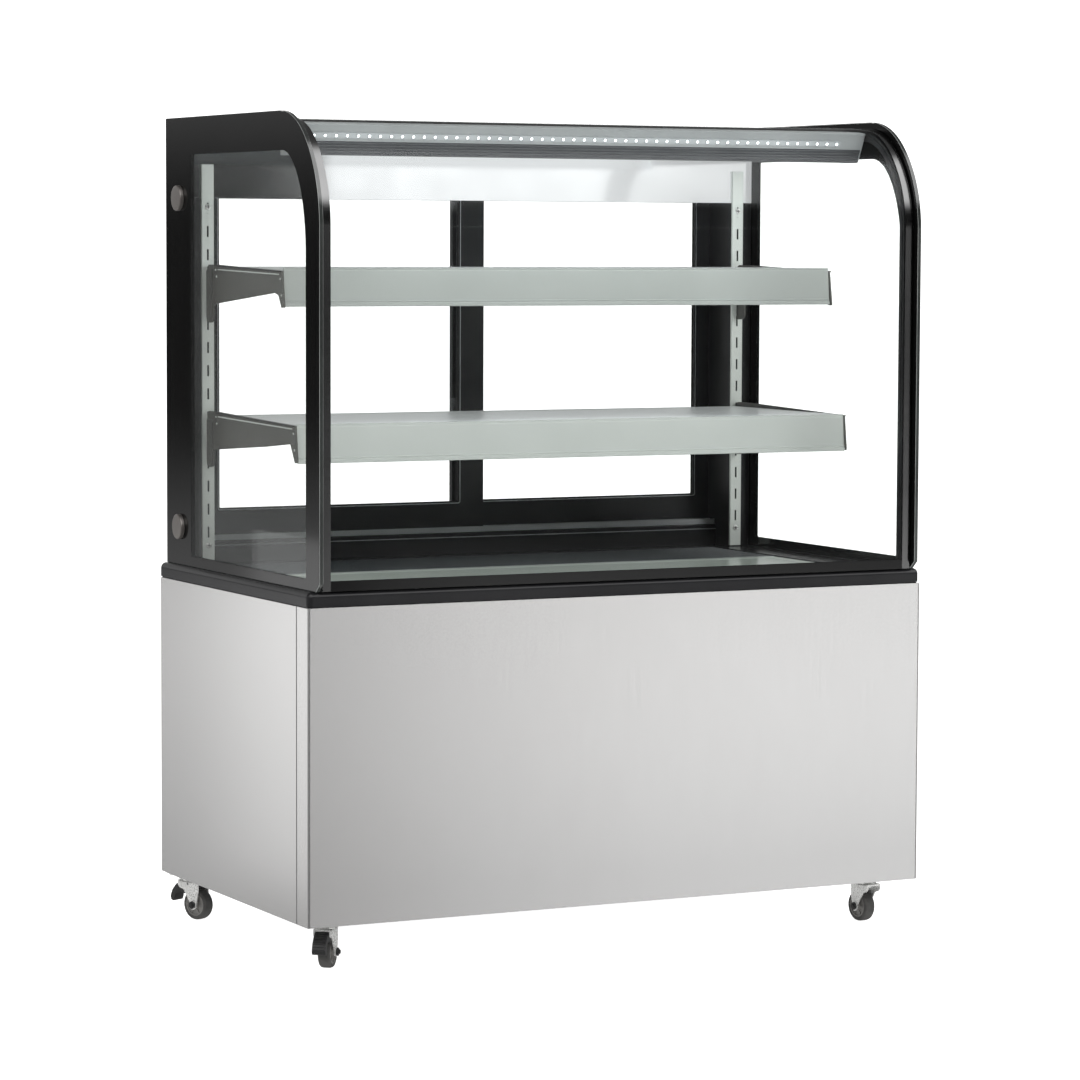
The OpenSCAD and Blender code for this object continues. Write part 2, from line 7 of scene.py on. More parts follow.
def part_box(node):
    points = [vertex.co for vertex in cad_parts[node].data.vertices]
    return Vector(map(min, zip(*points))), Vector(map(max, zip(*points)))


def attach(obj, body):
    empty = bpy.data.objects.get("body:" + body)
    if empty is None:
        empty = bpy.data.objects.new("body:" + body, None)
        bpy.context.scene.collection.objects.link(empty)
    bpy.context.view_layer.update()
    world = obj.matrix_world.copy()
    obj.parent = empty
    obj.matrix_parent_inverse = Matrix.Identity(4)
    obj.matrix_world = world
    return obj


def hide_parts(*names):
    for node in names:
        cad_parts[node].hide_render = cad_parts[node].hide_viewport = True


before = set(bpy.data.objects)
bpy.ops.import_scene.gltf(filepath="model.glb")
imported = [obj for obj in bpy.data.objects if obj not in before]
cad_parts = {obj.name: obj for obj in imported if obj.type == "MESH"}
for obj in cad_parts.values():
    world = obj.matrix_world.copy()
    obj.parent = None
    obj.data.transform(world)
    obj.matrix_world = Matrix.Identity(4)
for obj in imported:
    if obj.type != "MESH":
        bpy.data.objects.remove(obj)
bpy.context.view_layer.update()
scene = bpy.context.scene
MM = 0.001

def bx(node):
    lo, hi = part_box(node)
    return [round(c * 1000, 2) for c in (lo.x, hi.x, lo.y, hi.y, lo.z, hi.z)]

# ------------------------------------------------------------------ camera
yaw, pitch, roll, foc = 0.4678, 0.0767, 0.0040, 3871.6
cy, sy = math.cos(yaw), math.sin(yaw)
cp, sp = math.cos(pitch), math.sin(pitch)
right = Vector((cy, -sy, 0)); f0 = Vector((sy, cy, 0)); up0 = Vector((0, 0, 1))
fwd = f0 * cp - up0 * sp; up = up0 * cp + f0 * sp
R = right * math.cos(roll) + up * math.sin(roll)
U = -right * math.sin(roll) + up * math.cos(roll)
cam_data = bpy.data.cameras.new("cam")
cam = bpy.data.objects.new("cam", cam_data)
scene.collection.objects.link(cam)
cam_data.sensor_width = 36.0
cam_data.lens = foc / 1080 * 36.0
cam_data.clip_start, cam_data.clip_end = 0.05, 200
m = Matrix((R, U, -fwd)).transposed().to_4x4()
m.translation = Vector((-3.1463, -6.22795, 1.23227))
cam.matrix_world = m
scene.camera = cam
scene.view_settings.view_transform = "Standard"
scene.view_settings.look = "None"
scene.cycles.transparent_max_bounces = 40
scene.cycles.max_bounces = 10
scene.cycles.caustics_reflective = False
scene.cycles.caustics_refractive = False

# ------------------------------------------------------------------ node helpers
def tree(mt):
    mt.use_nodes = True
    nt = mt.node_tree
    nt.nodes.clear()
    return nt

def N(nt, kind, **kw):
    n = nt.nodes.new(kind)
    for k, v in kw.items():
        if k in n.inputs.keys():
            n.inputs[k].default_value = v
        else:
            setattr(n, k, v)
    return n

def math_node(nt, op, a, b=None, c=None):
    n = nt.nodes.new("ShaderNodeMath"); n.operation = op
    for i, v in enumerate((a, b, c)):
        if v is None: continue
        if isinstance(v, (int, float)): n.inputs[i].default_value = v
        else: nt.links.new(v, n.inputs[i])
    return n.outputs[0]

def mapr(nt, v, a, b, c, d, smooth=False):
    n = nt.nodes.new("ShaderNodeMapRange")
    n.interpolation_type = "SMOOTHSTEP" if smooth else "LINEAR"
    nt.links.new(v, n.inputs["Value"])
    for k, x in (("From Min", a), ("From Max", b), ("To Min", c), ("To Max", d)):
        n.inputs[k].default_value = x
    return n.outputs["Result"]

def noise(nt, scale=(1, 1, 1), size=10.0, detail=4.0, rough=0.6, seed_off=(0, 0, 0)):
    tc = N(nt, "ShaderNodeTexCoord")
    mp = N(nt, "ShaderNodeMapping")
    mp.inputs["Scale"].default_value = scale
    mp.inputs["Location"].default_value = seed_off
    nt.links.new(tc.outputs["Object"], mp.inputs["Vector"])
    nz = N(nt, "ShaderNodeTexNoise")
    nz.inputs["Scale"].default_value = size
    nz.inputs["Detail"].default_value = detail
    nz.inputs["Roughness"].default_value = rough
    nt.links.new(mp.outputs[0], nz.inputs["Vector"])
    return nz.outputs["Fac"]

def mixc(nt, fac, c1, c2):
    n = nt.nodes.new("ShaderNodeMix"); n.data_type = "RGBA"
    if isinstance(fac, (int, float)): n.inputs["Factor"].default_value = fac
    else: nt.links.new(fac, n.inputs["Factor"])
    for key, c in (("A", c1), ("B", c2)):
        s = [i for i in n.inputs if i.name == key and i.type == "RGBA"][0]
        if hasattr(c, "links") or hasattr(c, "is_output"): nt.links.new(c, s)
        else: s.default_value = (*c, 1) if len(c) == 3 else c
    return [o for o in n.outputs if o.type == "RGBA"][0]

def surface(name, base, base2=None, metal=0.0, rough=(0.35, 0.45), spec=0.5, fine=(1, 1, 1), fine_size=600, blot=6.0,
            bump=0.0, bump_dist=0.0002, coat=0.0, aniso=0.0, detail=5.0, sheen=0.0):
    """A satin solid: blotchy colour, fine roughness grain and a fine bump."""
    mt = bpy.data.materials.new(name)
    nt = tree(mt)
    out = N(nt, "ShaderNodeOutputMaterial")
    p = N(nt, "ShaderNodeBsdfPrincipled")
    p.inputs["Metallic"].default_value = metal
    p.inputs["Specular IOR Level"].default_value = spec
    p.inputs["Coat Weight"].default_value = coat
    p.inputs["Coat Roughness"].default_value = 0.08
    p.inputs["Anisotropic"].default_value = aniso
    base2 = base2 or tuple(min(1, c * 1.12 + 0.004) for c in base)
    n1 = noise(nt, (1, 1, 1), blot, 3.0, 0.5)
    col = mixc(nt, mapr(nt, n1, 0.35, 0.65, 0, 1, True), base, base2)
    nt.links.new(col, p.inputs["Base Color"])
    n2 = noise(nt, fine, fine_size, detail, 0.65)
    nt.links.new(mapr(nt, n2, 0.3, 0.7, rough[0], rough[1]), p.inputs["Roughness"])
    if bump:
        b = N(nt, "ShaderNodeBump")
        b.inputs["Strength"].default_value = bump
        b.inputs["Distance"].default_value = bump_dist
        nt.links.new(n2, b.inputs["Height"])
        nt.links.new(b.outputs[0], p.inputs["Normal"])
    nt.links.new(p.outputs[0], out.inputs["Surface"])
    return mt

def thin_glass(name, tint=(0.97, 0.985, 0.98), amount=1.0, haze=0.0, rough=0.0):
    """Thin clear sheet: straight-through light, a surface reflection that grows at grazing angles, a little haze."""
    mt = bpy.data.materials.new(name)
    nt = tree(mt)
    out = N(nt, "ShaderNodeOutputMaterial")
    lw = N(nt, "ShaderNodeLayerWeight"); lw.inputs["Blend"].default_value = 0.5
    f5 = math_node(nt, "POWER", lw.outputs["Facing"], 5.0)
    fac = math_node(nt, "MULTIPLY", math_node(nt, "ADD", math_node(nt, "MULTIPLY", f5, 0.96), 0.04), amount)
    tr = N(nt, "ShaderNodeBsdfTransparent"); tr.inputs["Color"].default_value = (*tint, 1)
    gl = N(nt, "ShaderNodeBsdfGlossy"); gl.inputs["Roughness"].default_value = rough
    gl.inputs["Color"].default_value = (0.95, 0.97, 0.97, 1)
    df = N(nt, "ShaderNodeBsdfDiffuse"); df.inputs["Color"].default_value = (0.8, 0.82, 0.81, 1)
    nz = noise(nt, (1, 1, 1), 5.0, 2.0, 0.5)
    m0 = N(nt, "ShaderNodeMixShader")
    nt.links.new(mapr(nt, nz, 0.3, 0.7, haze * 0.85, haze * 1.15), m0.inputs["Fac"])
    nt.links.new(tr.outputs[0], m0.inputs[1]); nt.links.new(df.outputs[0], m0.inputs[2])
    mx = N(nt, "ShaderNodeMixShader")
    nt.links.new(fac, mx.inputs["Fac"])
    nt.links.new(m0.outputs[0], mx.inputs[1]); nt.links.new(gl.outputs[0], mx.inputs[2])
    nt.links.new(mx.outputs[0], out.inputs["Surface"])
    return mt

# ------------------------------------------------------------------ materials
steel = surface("brushed_stainless", (0.765, 0.757, 0.75), (0.785, 0.78, 0.775), metal=0.86, rough=(0.21, 0.235), fine=(1, 1, 0.02), fine_size=500,
                bump=0.02, bump_dist=0.0001, blot=1.2)
# Painted shade and highlight: the stainless colour value is scaled from 0.80 at object Z 0.14 m to 1.12 at 0.64 m. This
# makes it darker towards the bottom and lighter towards the top, in place of a reflection gradient.
nt = steel.node_tree
pr = [n for n in nt.nodes if n.type == "BSDF_PRINCIPLED"][0]
src = pr.inputs["Base Color"].links[0].from_socket
tcn = N(nt, "ShaderNodeTexCoord"); sp = N(nt, "ShaderNodeSeparateXYZ"); nt.links.new(tcn.outputs["Object"], sp.inputs[0])
steel_painted_height_shade = N(nt, "ShaderNodeHueSaturation"); nt.links.new(src, steel_painted_height_shade.inputs["Color"])
nt.links.new(mapr(nt, sp.outputs[2], 0.14, 0.64, 0.80, 1.12), steel_painted_height_shade.inputs["Value"])
nt.links.new(steel_painted_height_shade.outputs["Color"], pr.inputs["Base Color"])
galv = surface("galvanised", (0.54, 0.55, 0.56), (0.59, 0.60, 0.61), metal=0.8, rough=(0.32, 0.5), fine_size=160, blot=55, bump=0.05)
band_black = surface("band_black", (0.010, 0.010, 0.011), (0.014, 0.014, 0.015), rough=(0.22, 0.28), spec=0.3, fine_size=900, bump=0.12, bump_dist=0.0001)
frame_black = surface("frame_black", (0.010, 0.0105, 0.011), (0.016, 0.016, 0.017), rough=(0.28, 0.40), fine_size=900, bump=0.10, bump_dist=0.0001)
frit = surface("fired_black_border", (0.003, 0.003, 0.003), (0.004, 0.004, 0.004), rough=(0.07, 0.11), fine_size=500, spec=0.32)
strip_metal = surface("dark_trim", (0.17, 0.17, 0.17), (0.20, 0.20, 0.20), metal=1.0, rough=(0.14, 0.19), fine=(0.05, 1, 1), fine_size=500)
liner = surface("well_liner", (0.16, 0.165, 0.17), rough=(0.35, 0.5), fine_size=300, blot=9)
alu = surface("anodised_aluminium", (0.52, 0.54, 0.55), (0.58, 0.60, 0.61), metal=0.85, rough=(0.28, 0.4), fine=(0.02, 1, 1), fine_size=700, bump=0.05, bump_dist=0.0001)
alu_fin = surface("fin_aluminium", (0.62, 0.63, 0.64), metal=0.8, rough=(0.3, 0.45), fine_size=300)
strip_alu = surface("price_strip_aluminium", (0.41, 0.435, 0.415), (0.43, 0.455, 0.435), metal=0.12, rough=(0.32, 0.46), fine=(0.02, 1, 1), fine_size=700, bump=0.05, bump_dist=0.0001)
# Painted shade: a darker copy of the price-strip aluminium, for the upper strip that sits nearer the lamps.
strip_alu_upper_painted_shade = surface("price_strip_aluminium_upper_painted_shade", (0.295, 0.315, 0.30), (0.31, 0.33, 0.315), metal=0.12, rough=(0.32, 0.46), fine=(0.02, 1, 1), fine_size=700, bump=0.05, bump_dist=0.0001)
shelf_mat = surface("shelf_enamel", (0.60, 0.62, 0.62), (0.66, 0.68, 0.68), rough=(0.25, 0.36), fine_size=500, bump=0.04, bump_dist=0.0001)
upright = surface("upright_enamel", (0.52, 0.55, 0.52), (0.57, 0.60, 0.57), rough=(0.36, 0.5), fine_size=500, bump=0.05, bump_dist=0.0001)
bracket_mat = surface("bracket_grey", (0.055, 0.055, 0.05), (0.07, 0.07, 0.065), rough=(0.36, 0.5), fine_size=600, bump=0.1, bump_dist=0.0001)
deck_green = surface("deck_enamel", (0.47, 0.53, 0.48), (0.52, 0.58, 0.53), rough=(0.14, 0.24), fine_size=400, blot=4)
deck_black = surface("deck_black", (0.014, 0.018, 0.021), (0.022, 0.027, 0.030), rough=(0.25, 0.38), fine_size=500, bump=0.06)
header_mat = surface("header_sheet", (0.42, 0.425, 0.43), (0.45, 0.455, 0.46), metal=1.0, rough=(0.07, 0.10), fine_size=14, detail=1.0)
# Painted light: the header sheet glows on its front face, from x = -0.36 m rightwards, fading from 0.70 to 0.46 towards
# the right end. The glow stands in for the bright reflection and lamp spill there.
nt = header_mat.node_tree
pr = [n for n in nt.nodes if n.type == "BSDF_PRINCIPLED"][0]
tcn = N(nt, "ShaderNodeTexCoord"); sp = N(nt, "ShaderNodeSeparateXYZ"); nt.links.new(tcn.outputs["Object"], sp.inputs[0])
header_painted_glow_x = mapr(nt, sp.outputs[0], -0.36, -0.29, 0.0, 1.0, True)
header_painted_glow_fade = mapr(nt, sp.outputs[0], 0.22, 0.50, 0.70, 0.46, True)
header_painted_glow_front = mapr(nt, sp.outputs[1], 0.2515, 0.2530, 1.0, 0.0)
pr.inputs["Emission Color"].default_value = (0.965, 0.985, 1.0, 1)
nt.links.new(math_node(nt, "MULTIPLY", math_node(nt, "MULTIPLY", header_painted_glow_x, header_painted_glow_fade), header_painted_glow_front), pr.inputs["Emission Strength"])
canopy_mat = surface("canopy_grey", (0.33, 0.35, 0.355), (0.37, 0.39, 0.395), metal=0.35, rough=(0.34, 0.44), fine=(0.02, 1, 1), fine_size=700, bump=0.05, bump_dist=0.0001)
lip_mat = surface("canopy_lip", (0.06, 0.063, 0.068), (0.075, 0.079, 0.084), metal=0.2, rough=(0.35, 0.45), fine=(0.02, 1, 1), fine_size=500)
top_mat = surface("top_black_glass", (0.010, 0.010, 0.011), rough=(0.06, 0.12), fine_size=200, spec=0.5)
cap_mat = surface("cap_satin_metal", (0.20, 0.185, 0.175), (0.24, 0.225, 0.21), metal=0.7, rough=(0.34, 0.46), fine_size=500, bump=0.06)
zinc = surface("zinc_plate", (0.78, 0.78, 0.76), (0.88, 0.88, 0.86), metal=0.6, rough=(0.22, 0.36), fine_size=260, blot=60, bump=0.06)
rubber = surface("wheel_rubber", (0.035, 0.034, 0.032), (0.055, 0.053, 0.050), rough=(0.5, 0.68), fine_size=700, blot=50, bump=0.18)
core = surface("wheel_core", (0.125, 0.12, 0.115), (0.17, 0.165, 0.155), rough=(0.4, 0.55), fine_size=500, blot=60, bump=0.1)
pedal = surface("pedal_black", (0.018, 0.018, 0.018), (0.028, 0.028, 0.028), rough=(0.38, 0.5), fine_size=600, bump=0.12)
motor = surface("motor_black", (0.02, 0.02, 0.022), rough=(0.3, 0.45), fine_size=400, bump=0.08)
comp = surface("compressor_gloss", (0.012, 0.012, 0.014), rough=(0.12, 0.2), fine_size=200, coat=0.3)
copper = surface("copper", (0.62, 0.30, 0.16), (0.70, 0.38, 0.22), metal=1.0, rough=(0.22, 0.4), fine_size=200, blot=18)
panm = surface("pan_grey", (0.14, 0.145, 0.15), rough=(0.4, 0.55), fine_size=500, bump=0.1)
joint_grey = surface("joint_shadow", (0.10, 0.10, 0.10), (0.115, 0.115, 0.115), rough=(0.45, 0.6), fine_size=500, bump=0.05)
ctrl = surface("control_black", (0.014, 0.014, 0.015), rough=(0.32, 0.44), fine_size=700, bump=0.12)
keym = surface("key_grey", (0.20, 0.205, 0.21), rough=(0.4, 0.5), fine_size=700, bump=0.1)
green = surface("rocker_green", (0.02, 0.18, 0.06), (0.03, 0.22, 0.08), rough=(0.12, 0.2), fine_size=400, coat=0.4)
red = surface("rocker_red", (0.38, 0.02, 0.02), (0.44, 0.03, 0.03), rough=(0.12, 0.2), fine_size=400, coat=0.4)
fanm = surface("fan_plastic", (0.03, 0.03, 0.032), rough=(0.35, 0.5), fine_size=400, bump=0.08)
seal = surface("seal_rubber", (0.02, 0.02, 0.02), rough=(0.55, 0.7), fine_size=600, bump=0.12)
side_pane = thin_glass("side_pane_glass", (0.985, 0.99, 0.985), amount=0.45, haze=0.015)
front_pane = thin_glass("front_glass_clear", (0.99, 0.996, 0.994), amount=0.22, haze=0.001)
door_pane = thin_glass("door_glass_clear", (0.99, 0.994, 0.993), amount=0.8, haze=0.004)
edge = surface("polished_glass_edge", (0.018, 0.020, 0.019), (0.026, 0.030, 0.028), rough=(0.08, 0.16), fine_size=300, spec=0.8, coat=0.5)
edge_line = surface("glass_edge_chamfer", (0.20, 0.21, 0.205), (0.26, 0.27, 0.265), rough=(0.1, 0.2), fine_size=300, spec=0.8)

def emitter(name, col, strength):
    mt = bpy.data.materials.new(name)
    nt = tree(mt)
    out = N(nt, "ShaderNodeOutputMaterial")
    p = N(nt, "ShaderNodeBsdfPrincipled")
    p.inputs["Roughness"].default_value = 0.3
    n1 = noise(nt, (1, 1, 1), 90, 2.0, 0.5)
    nt.links.new(mixc(nt, n1, tuple(c * 0.95 for c in col), col), p.inputs["Base Color"])
    p.inputs["Emission Color"].default_value = (*col, 1)
    p.inputs["Emission Strength"].default_value = strength
    nt.links.new(p.outputs[0], out.inputs["Surface"])
    return mt
led_mat = emitter("lamp_white", (0.93, 0.98, 1.0), 3.2)
board = surface("lamp_board", (0.34, 0.36, 0.37), rough=(0.3, 0.4), fine_size=400)

# ------------------------------------------------------------------ mesh helpers (all in mm)
def arc(c, r, a0, a1, n):
    return [(c[0] + r * math.cos(math.radians(a0 + (a1 - a0) * i / n)), c[1] + r * math.sin(math.radians(a0 + (a1 - a0) * i / n))) for i in range(n + 1)]

def fillet(pts, radii, n=5):
    """Rounds the corners of a closed outline."""
    out = []
    k = len(pts)
    for i, p in enumerate(pts):
        r = radii[i] if isinstance(radii, (list, tuple)) else radii
        a = Vector(pts[i - 1]) - Vector(p); b = Vector(pts[(i + 1) % k]) - Vector(p)
        if r <= 0 or a.length < 1e-6 or b.length < 1e-6:
            out.append(tuple(p)); continue
        an, bn = a.normalized(), b.normalized()
        ang = math.acos(max(-1, min(1, an.dot(bn))))
        if ang < 0.02 or ang > math.pi - 0.02:
            out.append(tuple(p)); continue
        d = min(r / math.tan(ang / 2), a.length * 0.49, b.length * 0.49)
        rr = d * math.tan(ang / 2)
        c = Vector(p) + (an + bn).normalized() * (rr / math.sin(ang / 2))
        s, e = Vector(p) + an * d - c, Vector(p) + bn * d - c
        a0 = math.atan2(s.y, s.x); a1 = math.atan2(e.y, e.x)
        da = (a1 - a0 + math.pi) % (2 * math.pi) - math.pi
        for j in range(n + 1):
            t = a0 + da * j / n
            out.append((c.x + rr * math.cos(t), c.y + rr * math.sin(t)))
    return out

def rect(a0, a1, b0, b1, r=0, n=4):
    p = [(a0, b0), (a1, b0), (a1, b1), (a0, b1)]
    return fillet(p, r, n) if r else p

class G:
    """Collects solids, then makes one object of them."""
    def __init__(self): self.v, self.f, self.m = [], [], []
    def add(self, vs, fs, mi=0, M=None):
        o = len(self.v)
        self.v += [tuple((M @ Vector(v)) if M is not None else v) for v in vs]
        self.f += [[i + o for i in f] for f in fs]
        self.m += [mi] * len(fs) if isinstance(mi, int) else mi
        return self
    def prism(self, outer, axis, c0, c1, holes=(), mi=0, cap=None, M=None):
        loops = [list(outer)] + [list(h) for h in holes]
        put = {"x": lambda a, b, c: (c, a, b), "y": lambda a, b, c: (a, c, b), "z": lambda a, b, c: (a, b, c)}[axis]
        vs, fs, ms = [], [], []
        flat = [p for l in loops for p in l]
        n = len(flat)
        for c in (c0, c1): vs += [put(p[0], p[1], c) for p in flat]
        capm = mi if cap is None else cap
        if len(loops) == 1 and n < 5:
            fs += [list(range(n))[::-1], [i + n for i in range(n)]]; ms += [capm, capm]
        else:
            tris = tessellate_polygon([[Vector((p[0], p[1], 0)) for p in l] for l in loops])
            for t in tris:
                fs.append(list(t)); ms.append(capm)
                fs.append([i + n for i in t][::-1]); ms.append(capm)
        s = 0
        for l in loops:
            k = len(l)
            for i in range(k):
                j = (i + 1) % k
                fs.append([s + i, s + j, s + j + n, s + i + n]); ms.append(mi)
            s += k
        return self.add(vs, fs, ms, M)
    def box(self, x0, x1, y0, y1, z0, z1, mi=0, M=None):
        return self.prism([(x0, y0), (x1, y0), (x1, y1), (x0, y1)], "z", z0, z1, mi=mi, M=M)
    def lathe(self, prof, o=(0, 0, 0), d=(0, 0, 1), seg=64, mi=0, M=None, closed=False):
        """prof: (r, h) points along direction d from point o; ends at r=0 are closed to a point."""
        d = Vector(d).normalized(); q = Vector((0, 0, 1)).rotation_difference(d)
        vs, fs, ms = [], [], []
        mil = mi if isinstance(mi, list) else [mi] * len(prof)
        rings = []
        for r, h in prof:
            if r < 1e-6:
                rings.append([len(vs)]); vs.append(tuple(Vector(o) + d * h))
            else:
                rings.append(list(range(len(vs), len(vs) + seg)))
                for i in range(seg):
                    a = 2 * math.pi * i / seg
                    vs.append(tuple(Vector(o) + q @ Vector((r * math.cos(a), r * math.sin(a), h))))
        pairs = list(zip(range(len(rings) - 1), range(1, len(rings))))
        if closed: pairs.append((len(rings) - 1, 0))
        for a, b in pairs:
            A, B = rings[a], rings[b]
            for i in range(seg):
                j = (i + 1) % seg
                if len(A) == 1 and len(B) == 1: continue
                if len(A) == 1: fs.append([A[0], B[j], B[i]])
                elif len(B) == 1: fs.append([A[i], A[j], B[0]])
                else: fs.append([A[i], A[j], B[j], B[i]])
                ms.append(mil[a])
        return self.add(vs, fs, ms, M)
    def tube(self, pts, r, seg=16, mi=0, M=None):
        P = [Vector(p) for p in pts]
        vs, fs = [], []
        t = (P[1] - P[0]).normalized()
        nrm = t.orthogonal().normalized()
        for i, p in enumerate(P):
            t2 = (P[min(i + 1, len(P) - 1)] - P[max(i - 1, 0)]).normalized()
            nrm = (nrm - t2 * nrm.dot(t2)).normalized()
            b = t2.cross(nrm)
            for k in range(seg):
                a = 2 * math.pi * k / seg
                vs.append(tuple(p + nrm * (r * math.cos(a)) + b * (r * math.sin(a))))
        for i in range(len(P) - 1):
            for k in range(seg):
                j = (k + 1) % seg
                fs.append([i * seg + k, i * seg + j, (i + 1) * seg + j, (i + 1) * seg + k])
        fs.append(list(range(seg))[::-1]); fs.append([(len(P) - 1) * seg + k for k in range(seg)])
        return self.add(vs, fs, mi, M)
    def obj(self, name, body, mats, replaces=(), bevel=0.0, seg=2, angle=35, ang_bevel=40):
        me = bpy.data.meshes.new(name)
        me.from_pydata([(x * MM, y * MM, z * MM) for x, y, z in self.v], [], self.f)
        for mt in (mats if isinstance(mats, (list, tuple)) else [mats]): me.materials.append(mt)
        me.polygons.foreach_set("material_index", self.m)
        b = bmesh.new(); b.from_mesh(me)
        bmesh.ops.remove_doubles(b, verts=b.verts, dist=1e-7)
        bmesh.ops.recalc_face_normals(b, faces=b.faces)
        b.to_mesh(me); b.free()
        me.polygons.foreach_set("use_smooth", [True] * len(me.polygons))
        me.set_sharp_from_angle(angle=math.radians(angle))
        o = bpy.data.objects.new(name, me)
        scene.collection.objects.link(o)
        if bevel:
            md = o.modifiers.new("edge_round", "BEVEL")
            md.width = bevel * MM; md.segments = seg; md.limit_method = "ANGLE"; md.angle_limit = math.radians(ang_bevel)
            md.use_clamp_overlap = True; md.harden_normals = False; md.miter_outer = "MITER_ARC"
        wn = o.modifiers.new("face_normals", "WEIGHTED_NORMAL")
        wn.mode = "FACE_AREA"; wn.weight = 80; wn.keep_sharp = True
        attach(o, body)
        if replaces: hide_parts(*replaces)
        return o

def cad(node, mt, bevel=0.0, seg=2):
    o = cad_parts[node]
    o.data.materials.clear(); o.data.materials.append(mt)
    if bevel:
        md = o.modifiers.new("edge_round", "BEVEL")
        md.width = bevel * MM; md.segments = seg; md.limit_method = "ANGLE"; md.angle_limit = math.radians(40); md.harden_normals = False
    return o

C = "cabinet"
# ------------------------------------------------------------------ driving places, from the CAD boxes
FX0, FX1, FY0, _, FZ0, FZ1 = bx("front_panel")
_, _, SY0, SY1, _, _ = bx("side_panel_right")
BX0, BX1, BY0, BY1, BZ0, BZ1 = bx("base_band")
PX0, PX1, PY0, PY1, PZ0, PZ1 = bx("side_glass_right")     # right pane
GX0, GX1, GY0, GY1, GZ0, GZ1 = bx("front_glass")
TX0, TX1, TY0, TY1, TZ0, TZ1 = bx("top_panel")
r1, r2 = 150.0, 215.0
pc1 = (-178.0, PZ1 - r1)
pc2 = (pc1[0] + (r1 - r2) * math.cos(math.radians(135)), pc1[1] + (r1 - r2) * math.sin(math.radians(135)))
def bend(o, n=26):
    return arc(pc2, r2 - o, 180, 135, n) + arc(pc1, r1 - o, 135, 90, n)[1:]

# ------------------------------------------------------------------ base cabinet
t = 1.5
g = G()
u = fillet([(FX0, FY0 + 47), (FX0, FY0), (FX1, FY0), (FX1, FY0 + 47), (FX1 - t, FY0 + 47), (FX1 - t, FY0 + t), (FX0 + t, FY0 + t), (FX0 + t, FY0 + 47)],
           [0, 3.2, 3.2, 0, 0, 1.7, 1.7, 0], 6)
g.prism(u, "z", FZ0, FZ1)
g.box(FX0 + 4, FX1 - 4, FY0 + t, FY0 + 20, FZ0, FZ0 + 1.5)          # folded foot
g.box(FX0 + 4, FX1 - 4, FY0 + t, FY0 + 14, FZ1 - 1.5, FZ1)          # folded top
for s in (FX0 + t, FX1 - t - 12): g.box(s, s + 12, FY0 + 45.5, FY0 + 47, FZ0 + 2, FZ1 - 2)
g.obj("front_panel_sheet", C, steel, ["front_panel"], bevel=0.35)
for s, nm in ((-1, "side_panel_left"), (1, "side_panel_right")):
    g = G()
    xo = 600 * s; xi = (600 - t) * s
    prof = fillet([(xo, SY0), (xo, SY1), (xo - s * 14, SY1), (xo - s * 14, SY1 - t), (xi, SY1 - t), (xi, SY0 + t), (xi - s * 12, SY0 + t), (xi - s * 12, SY0)],
                  [2.6, 2.6, 0, 0, 1.1, 1.1, 0, 0], 6)
    g.prism(prof, "z", FZ0, FZ1)
    g.box(min(xi, xi - s * 16), max(xi, xi - s * 16), SY0 + 4, SY1 - 4, FZ0, FZ0 + 1.5)
    g.obj(nm + "_sheet", C, steel, [nm], bevel=0.3)

# painted shadow lines at the joints between the front sheet and the side sheets, and painted dark lines on the front
# face just inside each rounded corner
g = G()
for s in (-1, 1):
    a, b = sorted((s * 599.2, s * 600.1))
    g.box(a, b, SY0 - 1.9, SY0 + 1.9, FZ0 + 0.3, FZ1 - 0.3)
    a, b = sorted((s * 597.2, s * 595.8))
    g.box(a, b, FY0 - 0.06, FY0 + 0.4, FZ0 + 0.3, FZ1 - 0.3)
g.obj("panel_painted_shadow_lines", C, joint_grey)

# rear panel with pressed hoods over its slots
RX0, RX1, RY0, RY1, RZ0, RZ1 = bx("rear_grille")
g = G()
holes = []
for k in (-330, 70):
    for i in range(15): holes.append(rect(k, k + 260, 130 + i * 22, 138 + i * 22, 2.5, 3))
ctl, gl = bx("controller"), bx("cable_gland")
gx, gz = (gl[0] + gl[1]) / 2, (gl[4] + gl[5]) / 2
holes.append(rect(383.5, 454.5, 545.5, 574.5, 1))
for x in (300, 340): holes.append(rect(x - 9.5, x + 9.5, 546.5, 573.5, 1))
holes.append(arc((gx, gz), 9, 0, 350, 35))
g.prism(rect(RX0, RX1, RZ0, RZ1), "y", RY0, RY1, holes)
for k in (-330, 70):
    for i in range(15):
        z = 138 + i * 22
        hood = [(RY1 - 0.2, z + 1.2), (RY1 + 1.6, z + 0.6), (RY1 + 3.0, z - 1.6), (RY1 + 3.5, z - 4.6), (RY1 + 2.6, z - 4.8), (RY1 + 2.2, z - 2.2), (RY1 + 1.0, z - 0.6), (RY1 - 0.2, z - 0.2)]
        g.prism(hood, "x", k + 1, k + 259)
g.obj("rear_panel_louvred", C, galv, ["rear_grille"], bevel=0.2, seg=1)
cad("floor_pan", galv, 0.5); cad("frame_posts", galv, 0.3)

